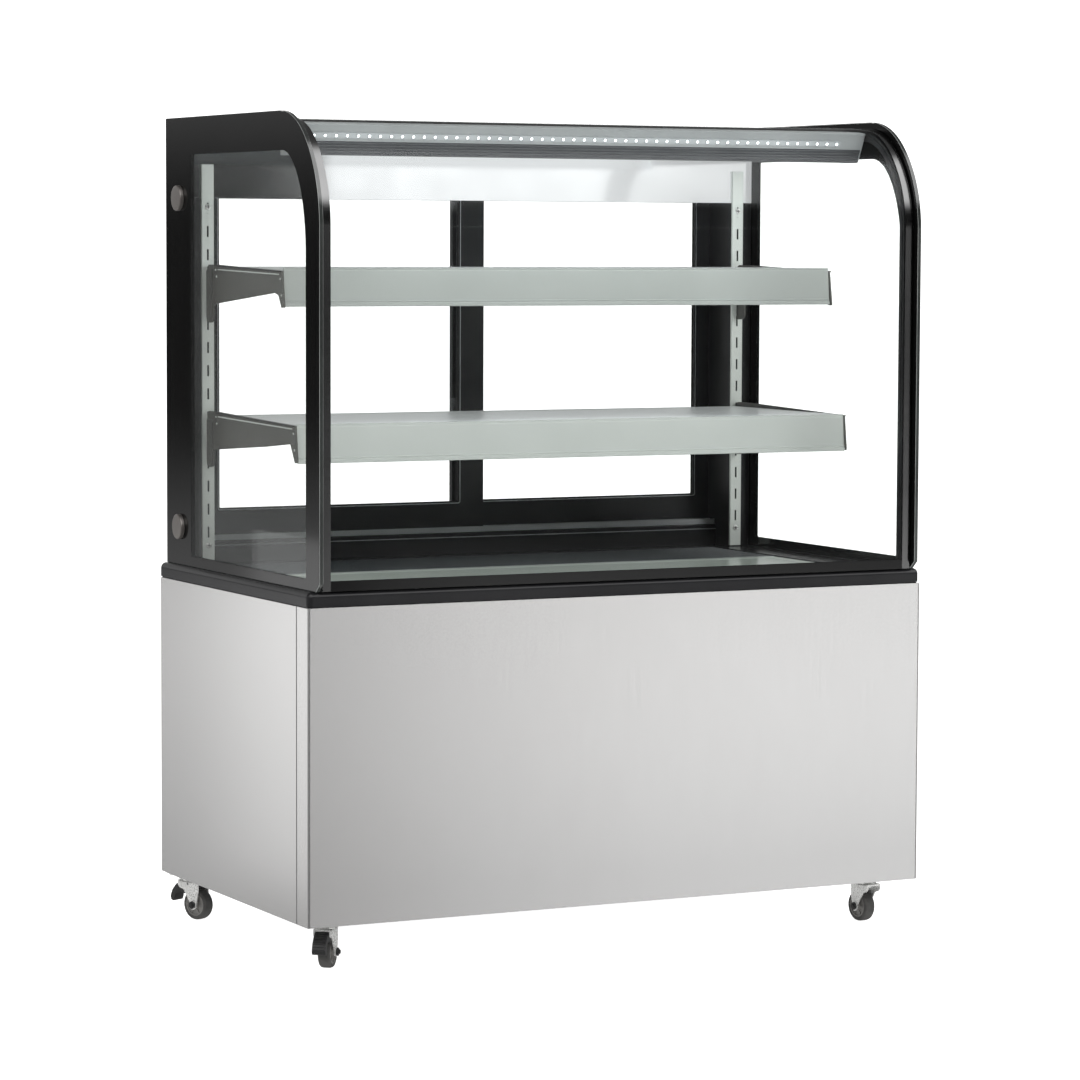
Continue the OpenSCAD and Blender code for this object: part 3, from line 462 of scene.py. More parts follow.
# black band with rounded upper edges
def rrect(x0, x1, y0, y1, rf, rb, n=6):
    return fillet([(x0, y0), (x1, y0), (x1, y1), (x0, y1)], [rf, rf, rb, rb], n)
g = G()
loops = []
br = 10.0
for z, o in [(BZ0, 2.4), (BZ0 + 1.9, 2.4), (BZ0 + 2.3, 0.0), (BZ1 - br, 0.0)] + [(BZ1 - br + br * math.sin(math.radians(a)), br - br * math.cos(math.radians(a))) for a in range(10, 91, 10)]:
    loops.append([(x, y, z) for x, y in rrect(BX0 + o, BX1 - o, BY0 + o, BY1, max(9 - o, 1.5), 1.2)])
for z, (x0, x1, y0, y1) in [(BZ1, (-505.8, 505.8, -300.8, 262.8)), (BZ1 - 0.8, (-505, 505, -300, 262)), (BZ1 - 6, (-505, 505, -300, 262)), (BZ1 - 6, (-493, 493, -288, 250)), (BZ0, (-493, 493, -288, 250))]:
    loops.append([(x, y, z) for x, y in rrect(x0, x1, y0, y1, 3, 3)])
k = len(loops[0])
vs = [p for l in loops for p in l]
fs = [[a * k + i, a * k + (i + 1) % k, b * k + (i + 1) % k, b * k + i] for a, b in [(q, (q + 1) % len(loops)) for q in range(len(loops))] for i in range(k)]
g.add(vs, fs)
g.obj("band_moulding", C, band_black, ["base_band"], angle=50)
cad("cold_well", liner, 1.0); cad("evaporator", alu_fin); cad("fan_motors", motor, 0.6); cad("compressor", comp, 1.0)
cad("condenser", motor, 0.3); cad("refrigerant_lines", copper); cad("drain_pan", panm, 0.6)

# deck
DX0, DX1, DY0, DY1, DZ0, DZ1 = bx("deck_plate")
g = G()
ring = [(0, DZ0), (0, DZ1 - 1.6), (0.5, DZ1 - 0.5), (1.6, DZ1)]
loops = [[(x, y, z) for x, y in rrect(DX0 + o, DX1 - o, DY0 + o, DY1 - o, max(6 - o, 1), max(2 - o, .5))] for o, z in ring]
loops += [[(x, y, z) for x, y in rrect(DX0 + o, DX1 - o, DY0 + o, DY1 - o, 4, 4)] for o, z in [(14, DZ1), (15.2, DZ1 - 0.7), (16.5, DZ1 - 0.9)]]
k = len(loops[0])
vs = [p for l in loops for p in l]
fs = [[a * k + i, a * k + (i + 1) % k, (a + 1) * k + (i + 1) % k, (a + 1) * k + i] for a in range(len(loops) - 1) for i in range(k)]
fs += [[(len(loops) - 1) * k + i for i in range(k)], list(range(k))[::-1]]
g.add(vs, fs)
g.obj("deck_tray", C, deck_green, ["deck_plate"], angle=30)
QX0, QX1, QY0, QY1, QZ0, QZ1 = bx("deck_grille")
g = G()
hs = []
for kk in range(6):
    for i in range(14): hs.append(rect(-490 + kk * 165, -340 + kk * 165, 34 + i * 16, 39 + i * 16, 2, 3))
g.prism(rect(QX0, QX1, QY0, QY1), "z", QZ0, QZ0 + 2.2, hs)
for i in range(15):
    y = 26 + i * 16
    g.prism([(y, QZ0 + 2), (y + 5, QZ0 + 2), (y + 4.4, QZ1 - 0.8), (y + 3.4, QZ1), (y + 1.6, QZ1), (y + 0.6, QZ1 - 0.8)], "x", QX0, QX1)
g.prism([(QY0, QZ0), (QY0 + 2, QZ0), (QY0 + 2, QZ1), (QY0, QZ1)], "x", QX0, QX1, mi=1)
g.obj("deck_air_grille", C, [deck_black, alu], ["deck_grille"], angle=40)

# ------------------------------------------------------------------ side panes
win = [(-290.0, 666.0)]
corner = [(-290, 1220), (-289.2, 1236), (-287, 1255), (-283.2, 1275), (-277.5, 1296), (-269.5, 1317), (-258.5, 1338), (-245.5, 1356), (-230, 1371), (-214, 1380.5), (-200, 1384.8), (-188, 1386)]
window = [(-290, 668.5)] + corner + [(227, 1386), (227, 668.5)]
outline = [(PY1, PZ0), (pc2[0] - r2 + 16, PZ0), (pc2[0] - r2, PZ0 + 14)] + bend(0) + [(PY1, PZ1)]
window_r = fillet(window, [4] + [0] + [14] * 10 + [0] + [3, 3], 3)
for s, nm in ((-1, "side_glass_left"), (1, "side_glass_right")):
    xo, xi = s * PX1, s * PX0
    g = G()
    bolt = [[(281 + 7 * math.cos(math.radians(a)), zc + 7 * math.sin(math.radians(a))) for a in range(0, 360, 15)] for zc in (719, 1309)]
    # two faces with the polished chamfer around them
    ch = 0.6
    def inset(pts, d):
        out = []
        k = len(pts)
        for i in range(k):
            a, b, c = Vector(pts[i - 1]), Vector(pts[i]), Vector(pts[(i + 1) % k])
            n1 = Vector((-(b - a).y, (b - a).x)).normalized(); n2 = Vector((-(c - b).y, (c - b).x)).normalized()
            nn = (n1 + n2).normalized()
            out.append(tuple(b + nn * (d / max(0.4, nn.dot(n1)))))
        return out
    area = sum(outline[i - 1][0] * outline[i][1] - outline[i][0] * outline[i - 1][1] for i in range(len(outline)))
    inn = inset(outline, ch if area > 0 else -ch)
    rings = [[(xi, y, z) for y, z in inn], [(xi + s * ch, y, z) for y, z in outline], [(xo - s * ch, y, z) for y, z in outline], [(xo, y, z) for y, z in inn]]
    k = len(inn)
    vs = [p for l in rings for p in l]
    fs = [[a * k + i, a * k + (i + 1) % k, (a + 1) * k + (i + 1) % k, (a + 1) * k + i] for a in range(3) for i in range(k)]
    ms = [2] * k + [1] * k + [2] * k
    for base, x in ((0, xi), (3 * k, xo)):
        tr = tessellate_polygon([[Vector((y, z, 0)) for y, z in inn]] + [[Vector((y, z, 0)) for y, z in h] for h in bolt])
        hv = [p for h in bolt for p in h]
        hb = len(vs)
        vs += [(x, y, z) for y, z in hv]
        idx = lambda i: base + i if i < k else hb + i - k
        for tt in tr: fs.append([idx(i) for i in tt]); ms.append(0)
    g.add(vs, fs, ms)
    g.obj(nm.replace("side_glass", "side_pane"), C, [side_pane, edge, edge_line], [nm], angle=25)
    # fired black border on the outer face
    g = G()
    inn2 = inset(outline, 1.2 if area > 0 else -1.2)
    g.prism(inn2, "x", xo, xo + s * 0.18, [window_r] + bolt)
    g.prism(inn2, "x", xi, xi - s * 0.12, [window_r] + bolt)
    g.obj(nm.replace("side_glass", "side_border"), C, frit, angle=25)

# stand-off caps
g = G()
for s in (-1, 1):
    for z in (719, 1309):
        x0 = s * PX1
        g.lathe([(0, 0.2), (22.0, 0.2), (23.0, 0.8), (23.0, 5.6), (22.2, 7.0), (21.0, 7.8), (19.5, 8.1), (0, 8.1)], (x0, 281, z), (s, 0, 0), 72)
        g.lathe([(0, -23), (6, -23), (6, 0.3)], (x0, 281, z), (s, 0, 0), 32, mi=1)
        g.lathe([(6.2, -9), (13, -9), (13, -7.2), (6.2, -7.2)], (x0, 281, z), (s, 0, 0), 40, mi=1, closed=True)
g.obj("pane_caps", C, [cap_mat, zinc], ["glass_caps"], angle=30)

# ------------------------------------------------------------------ curved front glass, its borders and rails
gi, gt = 12.0, GZ1 - TZ0
gy0 = pc2[0] - r2 + gi
back = TY0 - 0.5
def shell(o0, o1, z0, yb):
    return [(pc2[0] - r2 + o0, z0)] + bend(o0, 34) + [(yb, PZ1 - o0), (yb, PZ1 - o1)] + bend(o1, 34)[::-1] + [(pc2[0] - r2 + o1, z0)]
def strip_shell(g, o0, o1, z0, yb, x0, x1, mi_face=0, mi_edge=0):
    """A bent sheet of constant thickness: quads along the bend."""
    A = [(pc2[0] - r2 + o0, z0)] + bend(o0, 34) + [(yb, PZ1 - o0)]
    B = [(pc2[0] - r2 + o1, z0)] + bend(o1, 34) + [(yb, PZ1 - o1)]
    k = len(A)
    vs = [(x0, *p) for p in A] + [(x1, *p) for p in A] + [(x0, *p) for p in B] + [(x1, *p) for p in B]
    fs, ms = [], []
    for i in range(k - 1):
        fs += [[i, i + 1, k + i + 1, k + i], [2 * k + i, 2 * k + i + 1, 3 * k + i + 1, 3 * k + i]]; ms += [mi_face] * 2
        fs += [[i, i + 1, 2 * k + i + 1, 2 * k + i], [k + i, k + i + 1, 3 * k + i + 1, 3 * k + i]]; ms += [mi_edge] * 2
    fs += [[0, k, 3 * k, 2 * k], [k - 1, 2 * k - 1, 4 * k - 1, 3 * k - 1]]; ms += [mi_edge] * 2
    g.add(vs, fs, ms)
g = G()
strip_shell(g, gi, gi + gt, GZ0, back, GX0, GX1, 0, 1)
g.obj("front_glass_bent", C, [front_pane, edge], ["front_glass"], angle=25)
# dark trims printed on the ends and foot of the bent glass
g = G()
for s in (-1, 1):
    x0, x1 = sorted((s * 559.5, s * 574.6))
    strip_shell(g, gi - 0.25, gi + 0.05, GZ0 + 0.5, back - 0.5, x0, x1)
g.obj("front_glass_end_trims", C, strip_metal, angle=25)
g = G()
g.box(-574.6, 574.6, gy0 - 0.22, gy0 - 0.01, GZ0 + 0.3, 667.5)
g.box(-560, 560, gy0 + gt + 0.01, gy0 + gt + 0.2, GZ0 + 0.3, 667.5)
g.box(-560, 560, gy0 + gt + 0.2, gy0 + gt + 9, GZ0 + 0.1, 660)
g.obj("front_glass_foot_border", C, frit, bevel=0.1, seg=1)
LX0, LX1, LY0, LY1, LZ0, LZ1 = bx("glass_rails")
g = G()
for s in (-1, 1):
    x0, x1 = sorted((s * (LX1 - 17.5), s * LX1))
    strip_shell(g, gi + gt + 0.05, gi + gt + 16, LZ0, back, x0, x1)
    xa, xb = sorted((s * (LX1 - 17.5), s * (LX1 - 19.0)))
    strip_shell(g, gi + gt + 5, gi + gt + 12, LZ0 + 4, back - 4, xa, xb)
g.obj("curved_rails", C, frame_black, ["glass_rails"], bevel=0.8, angle=30)

# ------------------------------------------------------------------ top, lamp housing, lamps
g = G()
g.box(TX0, TX1, TY0, TY1, TZ0, TZ1)
g.obj("top_plate", C, top_mat, ["top_panel"], bevel=0.8)
g = G()
g.box(TX0, TX1, TY0 - 1.6, TY0 + 1.8, TZ0 - 0.5, TZ1 + 0.15)
g.obj("top_joint_seal", C, seal, bevel=0.2, seg=1)
CX0, CX1, CY0, CY1, CZ0, CZ1 = bx("light_canopy")
A = Vector((-200.0, 1428.0)); B = Vector((-176.0, 1380.0)); d = (B - A).normalized(); nrm = Vector((d.y, -d.x))
if nrm.x > 0: nrm = -nrm
g = G()
face = [tuple(A), tuple(A + d * 9)]
face += [tuple(A + d * 12 - nrm * 0.8), tuple(A + d * 24 - nrm * 0.8), tuple(A + d * 26.5)]
n_light = len(face)
q = 29.0
while q < 49:
    face += [tuple(A + d * q), tuple(A + d * (q + 1.1) - nrm * 0.9), tuple(A + d * (q + 2.6) - nrm * 0.9), tuple(A + d * (q + 3.6))]
    q += 5.4
prof = face + [tuple(B), (-172, 1378.5), (-166, 1378.5), (-166, 1380.5), (-171.5, 1380.5), (-174.0, 1381.6), (-196.6, 1427.0), (-178, 1432.5), (-105, 1432.5), (-105, TZ0 - 0.02), (-178, TZ0 - 0.02), (-199, 1431.2), (-200.4, 1429.6)]
g.prism(prof, "x", CX0, CX1)
lipfrom = len(face) - 1
nwall = len(prof)
for i in range(n_light, lipfrom + 4): g.m[len(g.m) - nwall + i] = 1
for s in (-1, 1):
    x0, x1 = sorted((s * CX1, s * (CX1 - 2)))
    g.prism([tuple(A), tuple(B), (-172, 1378.5), (-115, 1378.5), (-105, TZ0 - 0.02), (-178, TZ0 - 0.02), (-199, 1431.2)], "x", x0, x1)
g.obj("lamp_housing", C, [canopy_mat, lip_mat], ["light_canopy"], angle=28)
g = G()
n_led = 51
base_p = A + d * 18 - nrm * 0.8
g.prism([tuple(base_p - d * 5), tuple(base_p + d * 5), tuple(base_p + d * 5 + nrm * 1.3), tuple(base_p - d * 5 + nrm * 1.3)], "x", -536, 508, mi=0)
ex = Vector((1, 0, 0)); ed = Vector((0, d.x, d.y)); en = Vector((0, nrm.x, nrm.y))
for i in range(n_led):
    x = -528 + i * 1028 / (n_led - 1)
    o = Vector((x, base_p.x, base_p.y)) + en * 1.3
    M = Matrix((ex, ed, en)).transposed().to_4x4(); M.translation = o
    g.box(-2.5, 2.5, -2.5, 2.5, 0, 1.0, 0, M)
    g.lathe([(2.3, 1.0), (2.1, 1.6), (1.4, 2.1), (0, 2.3)], (0, 0, 0), (0, 0, 1), 20, 1, M)
g.obj("lamp_row", C, [board, led_mat], ["led_strip"], angle=40)

# ------------------------------------------------------------------ rear frame
HX0, HX1, HY0, HY1, HZ0, HZ1 = bx("rear_header")
g = G()
prof = fillet([(HY0, HZ1), (HY0, HZ0), (HY1, HZ0), (HY1, HZ0 + 1.8), (HY0 + 1.8, HZ0 + 1.8), (HY0 + 1.8, HZ1)], [0, 1.6, 0, 0, .4, 0], 4)
g.prism(fillet([(HY0, HZ1), (HY0, HZ0), (HY0 + 1.8, HZ0), (HY0 + 1.8, HZ1)], [0, 1.2, 0, 0], 4), "x", HX0, HX1)
g.prism([(HY0 + 1, HZ0), (HY1, HZ0), (HY1, HZ0 + 1.8), (HY0 + 1, HZ0 + 1.8)], "x", -532, 532)
g.obj("header_sheet", C, header_mat, ["rear_header"], angle=30)
g = G()
for s in (-1, 1):
    x0, x1 = sorted((s * 533, s * 577.5))
    outer = fillet([(x0, 249.2), (x1, 249.2), (x1, 346), (x0, 346)], 2, 4)
    inner = fillet([(x0 + 2, 253.4), (x1 - 2, 253.4), (x1 - 2, 344), (x0 + 2, 344)], 1, 3)
    g.prism(outer, "z", 650, 1308.6, [inner])
    outer = fillet([(x0, 251.2), (x1, 251.2), (x1, 346), (x0, 346)], [0, 0, 2, 2], 4)
    g.prism(outer, "z", 1308.6, TZ0, [inner])
g.obj("corner_posts", C, frame_black, ["rear_posts"], angle=30)
g = G()
g.prism(rect(303, 346, 1360, TZ0, 2, 4), "x", -532.8, 532.8, [rect(305, 344, 1362, TZ0 - 2, 1, 3)])
g.obj("head_beam", C, frame_black, ["rear_beam"], angle=30)
g = G()
g.prism(fillet([(300, 650), (346, 650), (346, 690), (300, 690)], [0, 0, 2, 2.5], 4), "x", -532.8, 532.8, [rect(302.5, 344, 651.5, 688, 1, 3)])
g.box(-532.6, 532.6, 299.2, 300.2, 680.2, 681.8, 1)
for i in range(76): g.box(-525 + i * 14 - 3.2, -525 + i * 14 + 3.2, 299.85, 300.3, 664.6, 667.4, 2)
g.obj("sill_profile", C, [frame_black, alu, seal], ["rear_sill"], angle=30)
cad("door_tracks", alu, 0.4)

# slotted uprights: folded channels with slots, and their screws
for_p = bx("pilasters")
g = G()
for s in (-1, 1):
    c = s * 545
    hs = [rect(c - 1.8, c + 1.8, 700 + i * 41.5, 720 + i * 41.5, 0.8, 2) for i in range(15)]
    hs += [arc((c, z), 2.4, 0, 345, 23) for z in (686, 1293)]
    g.prism(rect(c - 11.5, c + 11.5, 652, 1369, 0.6, 2), "y", 244, 245.5, hs)
    for e in (-1, 1):
        a, b = sorted((c + e * 11.5, c + e * 10.0))
        g.box(a, b, 245.4, 249.0, 652, 1369)
g.obj("slotted_uprights", C, upright, ["pilasters"], bevel=0.25, seg=1)
g = G()
for s in (-1, 1):
    for z in (686, 1293):
        g.lathe([(0, -9), (2.25, -9), (2.25, 0), (5.4, 0), (5.4, 0.5), (4.6, 1.5), (3.0, 2.1), (0.01, 2.3)], (s * 545, 244.0, z), (0, -1, 0), 32)
        g.box(s * 545 - 3.2, s * 545 + 3.2, 241.5, 241.9, z - 0.5, z + 0.5, 1)
        g.box(s * 545 - 0.5, s * 545 + 0.5, 241.45, 241.95, z - 3.2, z + 3.2, 1)
    for z in (110, 360, 600):
        g.lathe([(4.6, -0.1), (4.6, 0.5), (3.8, 1.5), (2.0, 2.0), (0.01, 2.1)], (s * 585, RY1, z), (0, 1, 0), 32)
        g.box(s * 585 - 2.4, s * 585 + 2.4, RY1 + 1.9, RY1 + 2.2, z - 0.5, z + 0.5, 1)
g.obj("screws", C, [zinc, seal], ["panel_screws"], angle=30)

# ------------------------------------------------------------------ shelves
for nm, st in (("shelf_upper", "price_strip_upper"), ("shelf_lower", "price_strip_lower")):
    X0, X1, Y0, Y1, Z0, Z1 = bx(nm)
    g = G()
    loops = [[(x, y, z) for x, y in rrect(X0 + o, X1 - o, Y0 + o, Y1 - o, max(3 - o, 0.6), max(3 - o, 0.6))] for o, z in
             [(1.5, Z0), (0, Z0), (0, Z1 - 2.2), (0.3, Z1 - 1.1), (1.1, Z1 - 0.3), (2.2, Z1), (11, Z1), (12, Z1 - 0.6)]]
    k = len(loops[0])
    vs = [p for l in loops for p in l]
    fs = [[a * k + i, a * k + (i + 1) % k, (a + 1) * k + (i + 1) % k, (a + 1) * k + i] for a in range(len(loops) - 1) for i in range(k)]
    fs += [[(len(loops) - 1) * k + i for i in range(k)]]
    ins = [[(x, y, z) for x, y in rrect(X0 + 1.5, X1 - 1.5, Y0 + 1.5, Y1 - 1.5, 1.5, 1.5)] for z in (Z0, Z1 - 1.5)]
    o0 = len(vs); vs += ins[0] + ins[1]
    fs += [[i, (i + 1) % k, o0 + (i + 1) % k, o0 + i] for i in range(k)]
    fs += [[o0 + i, o0 + (i + 1) % k, o0 + k + (i + 1) % k, o0 + k + i] for i in range(k)]
    fs += [[o0 + k + i for i in range(k)][::-1]]
    g.add(vs, fs)
    g.obj(nm + "_plate", C, shelf_mat, [nm], angle=35)
    SX0, SX1, SYa, SYb, SZ0, SZ1 = bx(st)
    y0, z, H = Y0, Z1, 66.5
    prof = [(y0 - 0.2, z + 0.4), (y0 - 3.0, z + 0.4), (y0 - 3.6, z - 0.2), (y0 - 3.3, z - 4), (y0 - 3.9, z - 5), (y0 - 8.3, z - H + 11), (y0 - 9.6, z - H + 9.6),
            (y0 - 9.0, z - H + 7.4), (y0 - 10.5, z - H + 6), (y0 - 11, z - H + 1.5), (y0 - 10.2, z - H + 0.3), (y0 - 8.5, z - H), (y0 - 4, z - H + 2.5), (y0 - 4, z - H + 4), (y0 - 7.6, z - H + 4), (y0 - 6.3, z - H + 8), (y0 - 1.9, z - 17), (y0 - 0.2, z - 16)]
    g = G()
    g.prism(prof, "x", SX0, SX1)
    # The upper strip takes the darker painted-shade copy of the aluminium.
    g.obj(st + "_profile", C, strip_alu_upper_painted_shade if nm == "shelf_upper" else strip_alu, [st], angle=22)
def hook(b0):
    return [(243.5, b0), (247.4, b0), (247.4, b0 - 12), (248.6, b0 - 12), (248.6, b0 + 11), (243.5, b0 + 11)]
g = G()
for s in (-1, 1):
    for i, (z, y) in enumerate(((1171.0, -93.0), (904.5, -150.0))):
        foot = arc((228, z - (71 if i == 0 else 63)), 13, 180, 270, 8)
        if i == 0:
            pl = [(243.5, z + 15), (236, z + 19.5), (190, z + 19.5), (y - 4, z + 11), (y - 14, z - 52), (y - 2, z - 52), (y + 11, z - 31), (y + 27, z - 27), (195, z - 49), (215, z - 52)]
            rr = [0, 3, 5, 2, 2.5, 3, 8, 8, 5, 3]
            hk = hook(z - 50) + hook(z - 9)
            zb = z - 84
        else:
            pl = [(243.5, z + 20), (236, z + 24), (190, z + 24), (y - 5, z + 14.5), (y - 13, z - 49), (y - 3, z - 49.5), (y + 7, z - 33), (y + 17, z - 18), (-25, z - 27.5), (195, z - 43), (215, z - 45)]
            rr = [0, 3, 5, 2, 2.5, 3, 6, 5, 20, 5, 3]
            hk = hook(z - 34) + hook(z + 6.5)
            zb = z - 76
        n0 = len(pl)
        full = fillet(pl + foot + [(243.5, zb)] + hk, rr + [0] * (len(foot) + 1 + len(hk)), 4)
        g.prism(full, "x", s * 545 - 1.5, s * 545 + 1.5)
        a, b = sorted((s * 532, s * 545))
        g.box(a, b, y + 14, 232, z - 2, z)
        # folded upper flange with a bright line under it, and the rear cover of the strip
        xr = s * 546.5
        top0, top1 = (z + 19.5, z + 11) if i == 0 else (z + 24, z + 14.5)
        a, b = sorted((xr - s * 0.2, xr + s * 3.4))
        g.prism([(200, top0), (y - 2, top1), (y - 2, top1 - 2.2), (200, top0 - 2.2)], "x", a, b, mi=2)
        a, b = sorted((xr, xr + s * 0.9))
        g.prism([(192, top0 - 7.5), (y + 8, top1 - 5.0), (y + 8, top1 - 7.0), (192, top0 - 9.5)], "x", a, b, mi=1)
        for yy, zz in ((203, top0 - 9), (199, top0 - 21), (y + 2, top1 - 14), (y - 3, top1 - 42)):
            g.lathe([(2.0, 0), (1.8, 0.8), (1.1, 1.2), (0.01, 1.3)], (xr, yy, zz), (s, 0, 0), 16, 1)
        cov = fillet([(243.0, zb + 1), (243.0, z + 10), (217, z + 10), (217, zb + 1)], [10, 3, 3, 10], 5)
        a, b = sorted((xr, xr + s * 2.2))
        g.prism(cov, "x", a, b)
g.obj("shelf_arms", C, [bracket_mat, strip_alu, frame_black], ["shelf_brackets"], bevel=0.3, seg=2, angle=30)

# ------------------------------------------------------------------ sliding doors
for nm, body, pull_left in (("door_left", "door_left", True), ("door_right", "door_right", False)):
    X0, X1, Y0, Y1, Z0, Z1 = bx(nm + "_frame")
    Y1 = Y0 + 12
    wl = 31.5 if pull_left else 50
    wr = 50 if pull_left else 31.5
    g = G()
    z_in0, z_in1 = Z0 + 51.5, Z1 - 22
    ih = rect(X0 + wl, X1 - wr, z_in0, z_in1, 3, 4)
    oo = rect(X0, X1, Z0, Z1, 2, 3)
    # a frame of constant section: outer face, rebate for the pane
    g.prism(oo, "y", Y0, Y0 + 3.8, [ih])
    g.prism(oo, "y", Y0 + 3.8, Y0 + 8.2, [rect(X0 + 22.3, X1 - 22.3, Z0 + 40, Z1 - 12)])
    g.prism(oo, "y", Y0 + 8.2, Y1, [ih])
    # bright beads around the pane on both faces
    for ya, yb in ((Y0 - 0.25, Y0), (Y1, Y1 + 0.25)):
        g.prism(rect(X0 + wl - 2.2, X1 - wr + 2.2, z_in0 - 2.2, z_in1 + 2.2, 4, 4), "y", ya, yb, [rect(X0 + wl - 0.6, X1 - wr + 0.6, z_in0 - 0.6, z_in1 + 0.6, 3, 4)], mi=1)
    # raised pull with a finger groove
    xp = X0 + 20 if pull_left else X1 - 20
    g.prism(rect(xp - 6, xp + 6, 930, 1110, 4, 4), "y", Y1, Y1 + 2.0)
    g.prism(rect(xp - 6, xp + 6, 930, 1110, 4, 4), "y", Y1 + 2.0, Y1 + 5.8, [rect(xp - 3.2, xp + 3.2, 936, 1104, 2.5, 4)])
    g.obj(nm + "_profile", body, [frame_black, alu], [nm + "_frame"], bevel=0.35, seg=2)
    PXa, PXb, PYa, PYb, PZa, PZb = bx(nm + "_glass")
    g = G()
    g.box(PXa, PXb, PYa, PYb, PZa, PZb)
    o = g.obj(nm + "_pane", body, door_pane, [nm + "_glass"])
    # rubber gasket around the pane, seen at the inner edge
    g = G()
    for ya, yb in ((Y0 + 1.2, Y0 + 3.7), (Y0 + 8.3, Y0 + 10.8)):
        g.prism(rect(X0 + wl, X1 - wr, z_in0, z_in1, 3, 4), "y", ya, yb, [rect(X0 + wl + 2, X1 - wr - 2, z_in0 + 2, z_in1 - 2, 2, 4)])
    g.obj(nm + "_gasket", body, seal, bevel=0.2, seg=1)

# ------------------------------------------------------------------ controls and fittings on the rear panel
cad("controller", ctrl, 0.5); cad("switch_bezels", ctrl, 0.4); cad("cable_gland", ctrl, 0.4)
cad("light_switch", green, 0.4); cad("power_switch", red, 0.4); cad("key_up", keym, 0.4); cad("key_down", keym, 0.4)
cad("condenser_fan", fanm, 0.3); cad("evaporator_fan", fanm, 0.3)
g = G()
g.prism(rect(388, 420, 546, 574, 1.5, 4), "y", ctl[3] - 0.02, ctl[3] + 0.25)
win_o = g.obj("controller_window", C, surface("display_window", (0.02, 0.004, 0.004), (0.03, 0.006, 0.006), rough=(0.05, 0.1), fine_size=300, coat=0.5), bevel=0.1, seg=1)

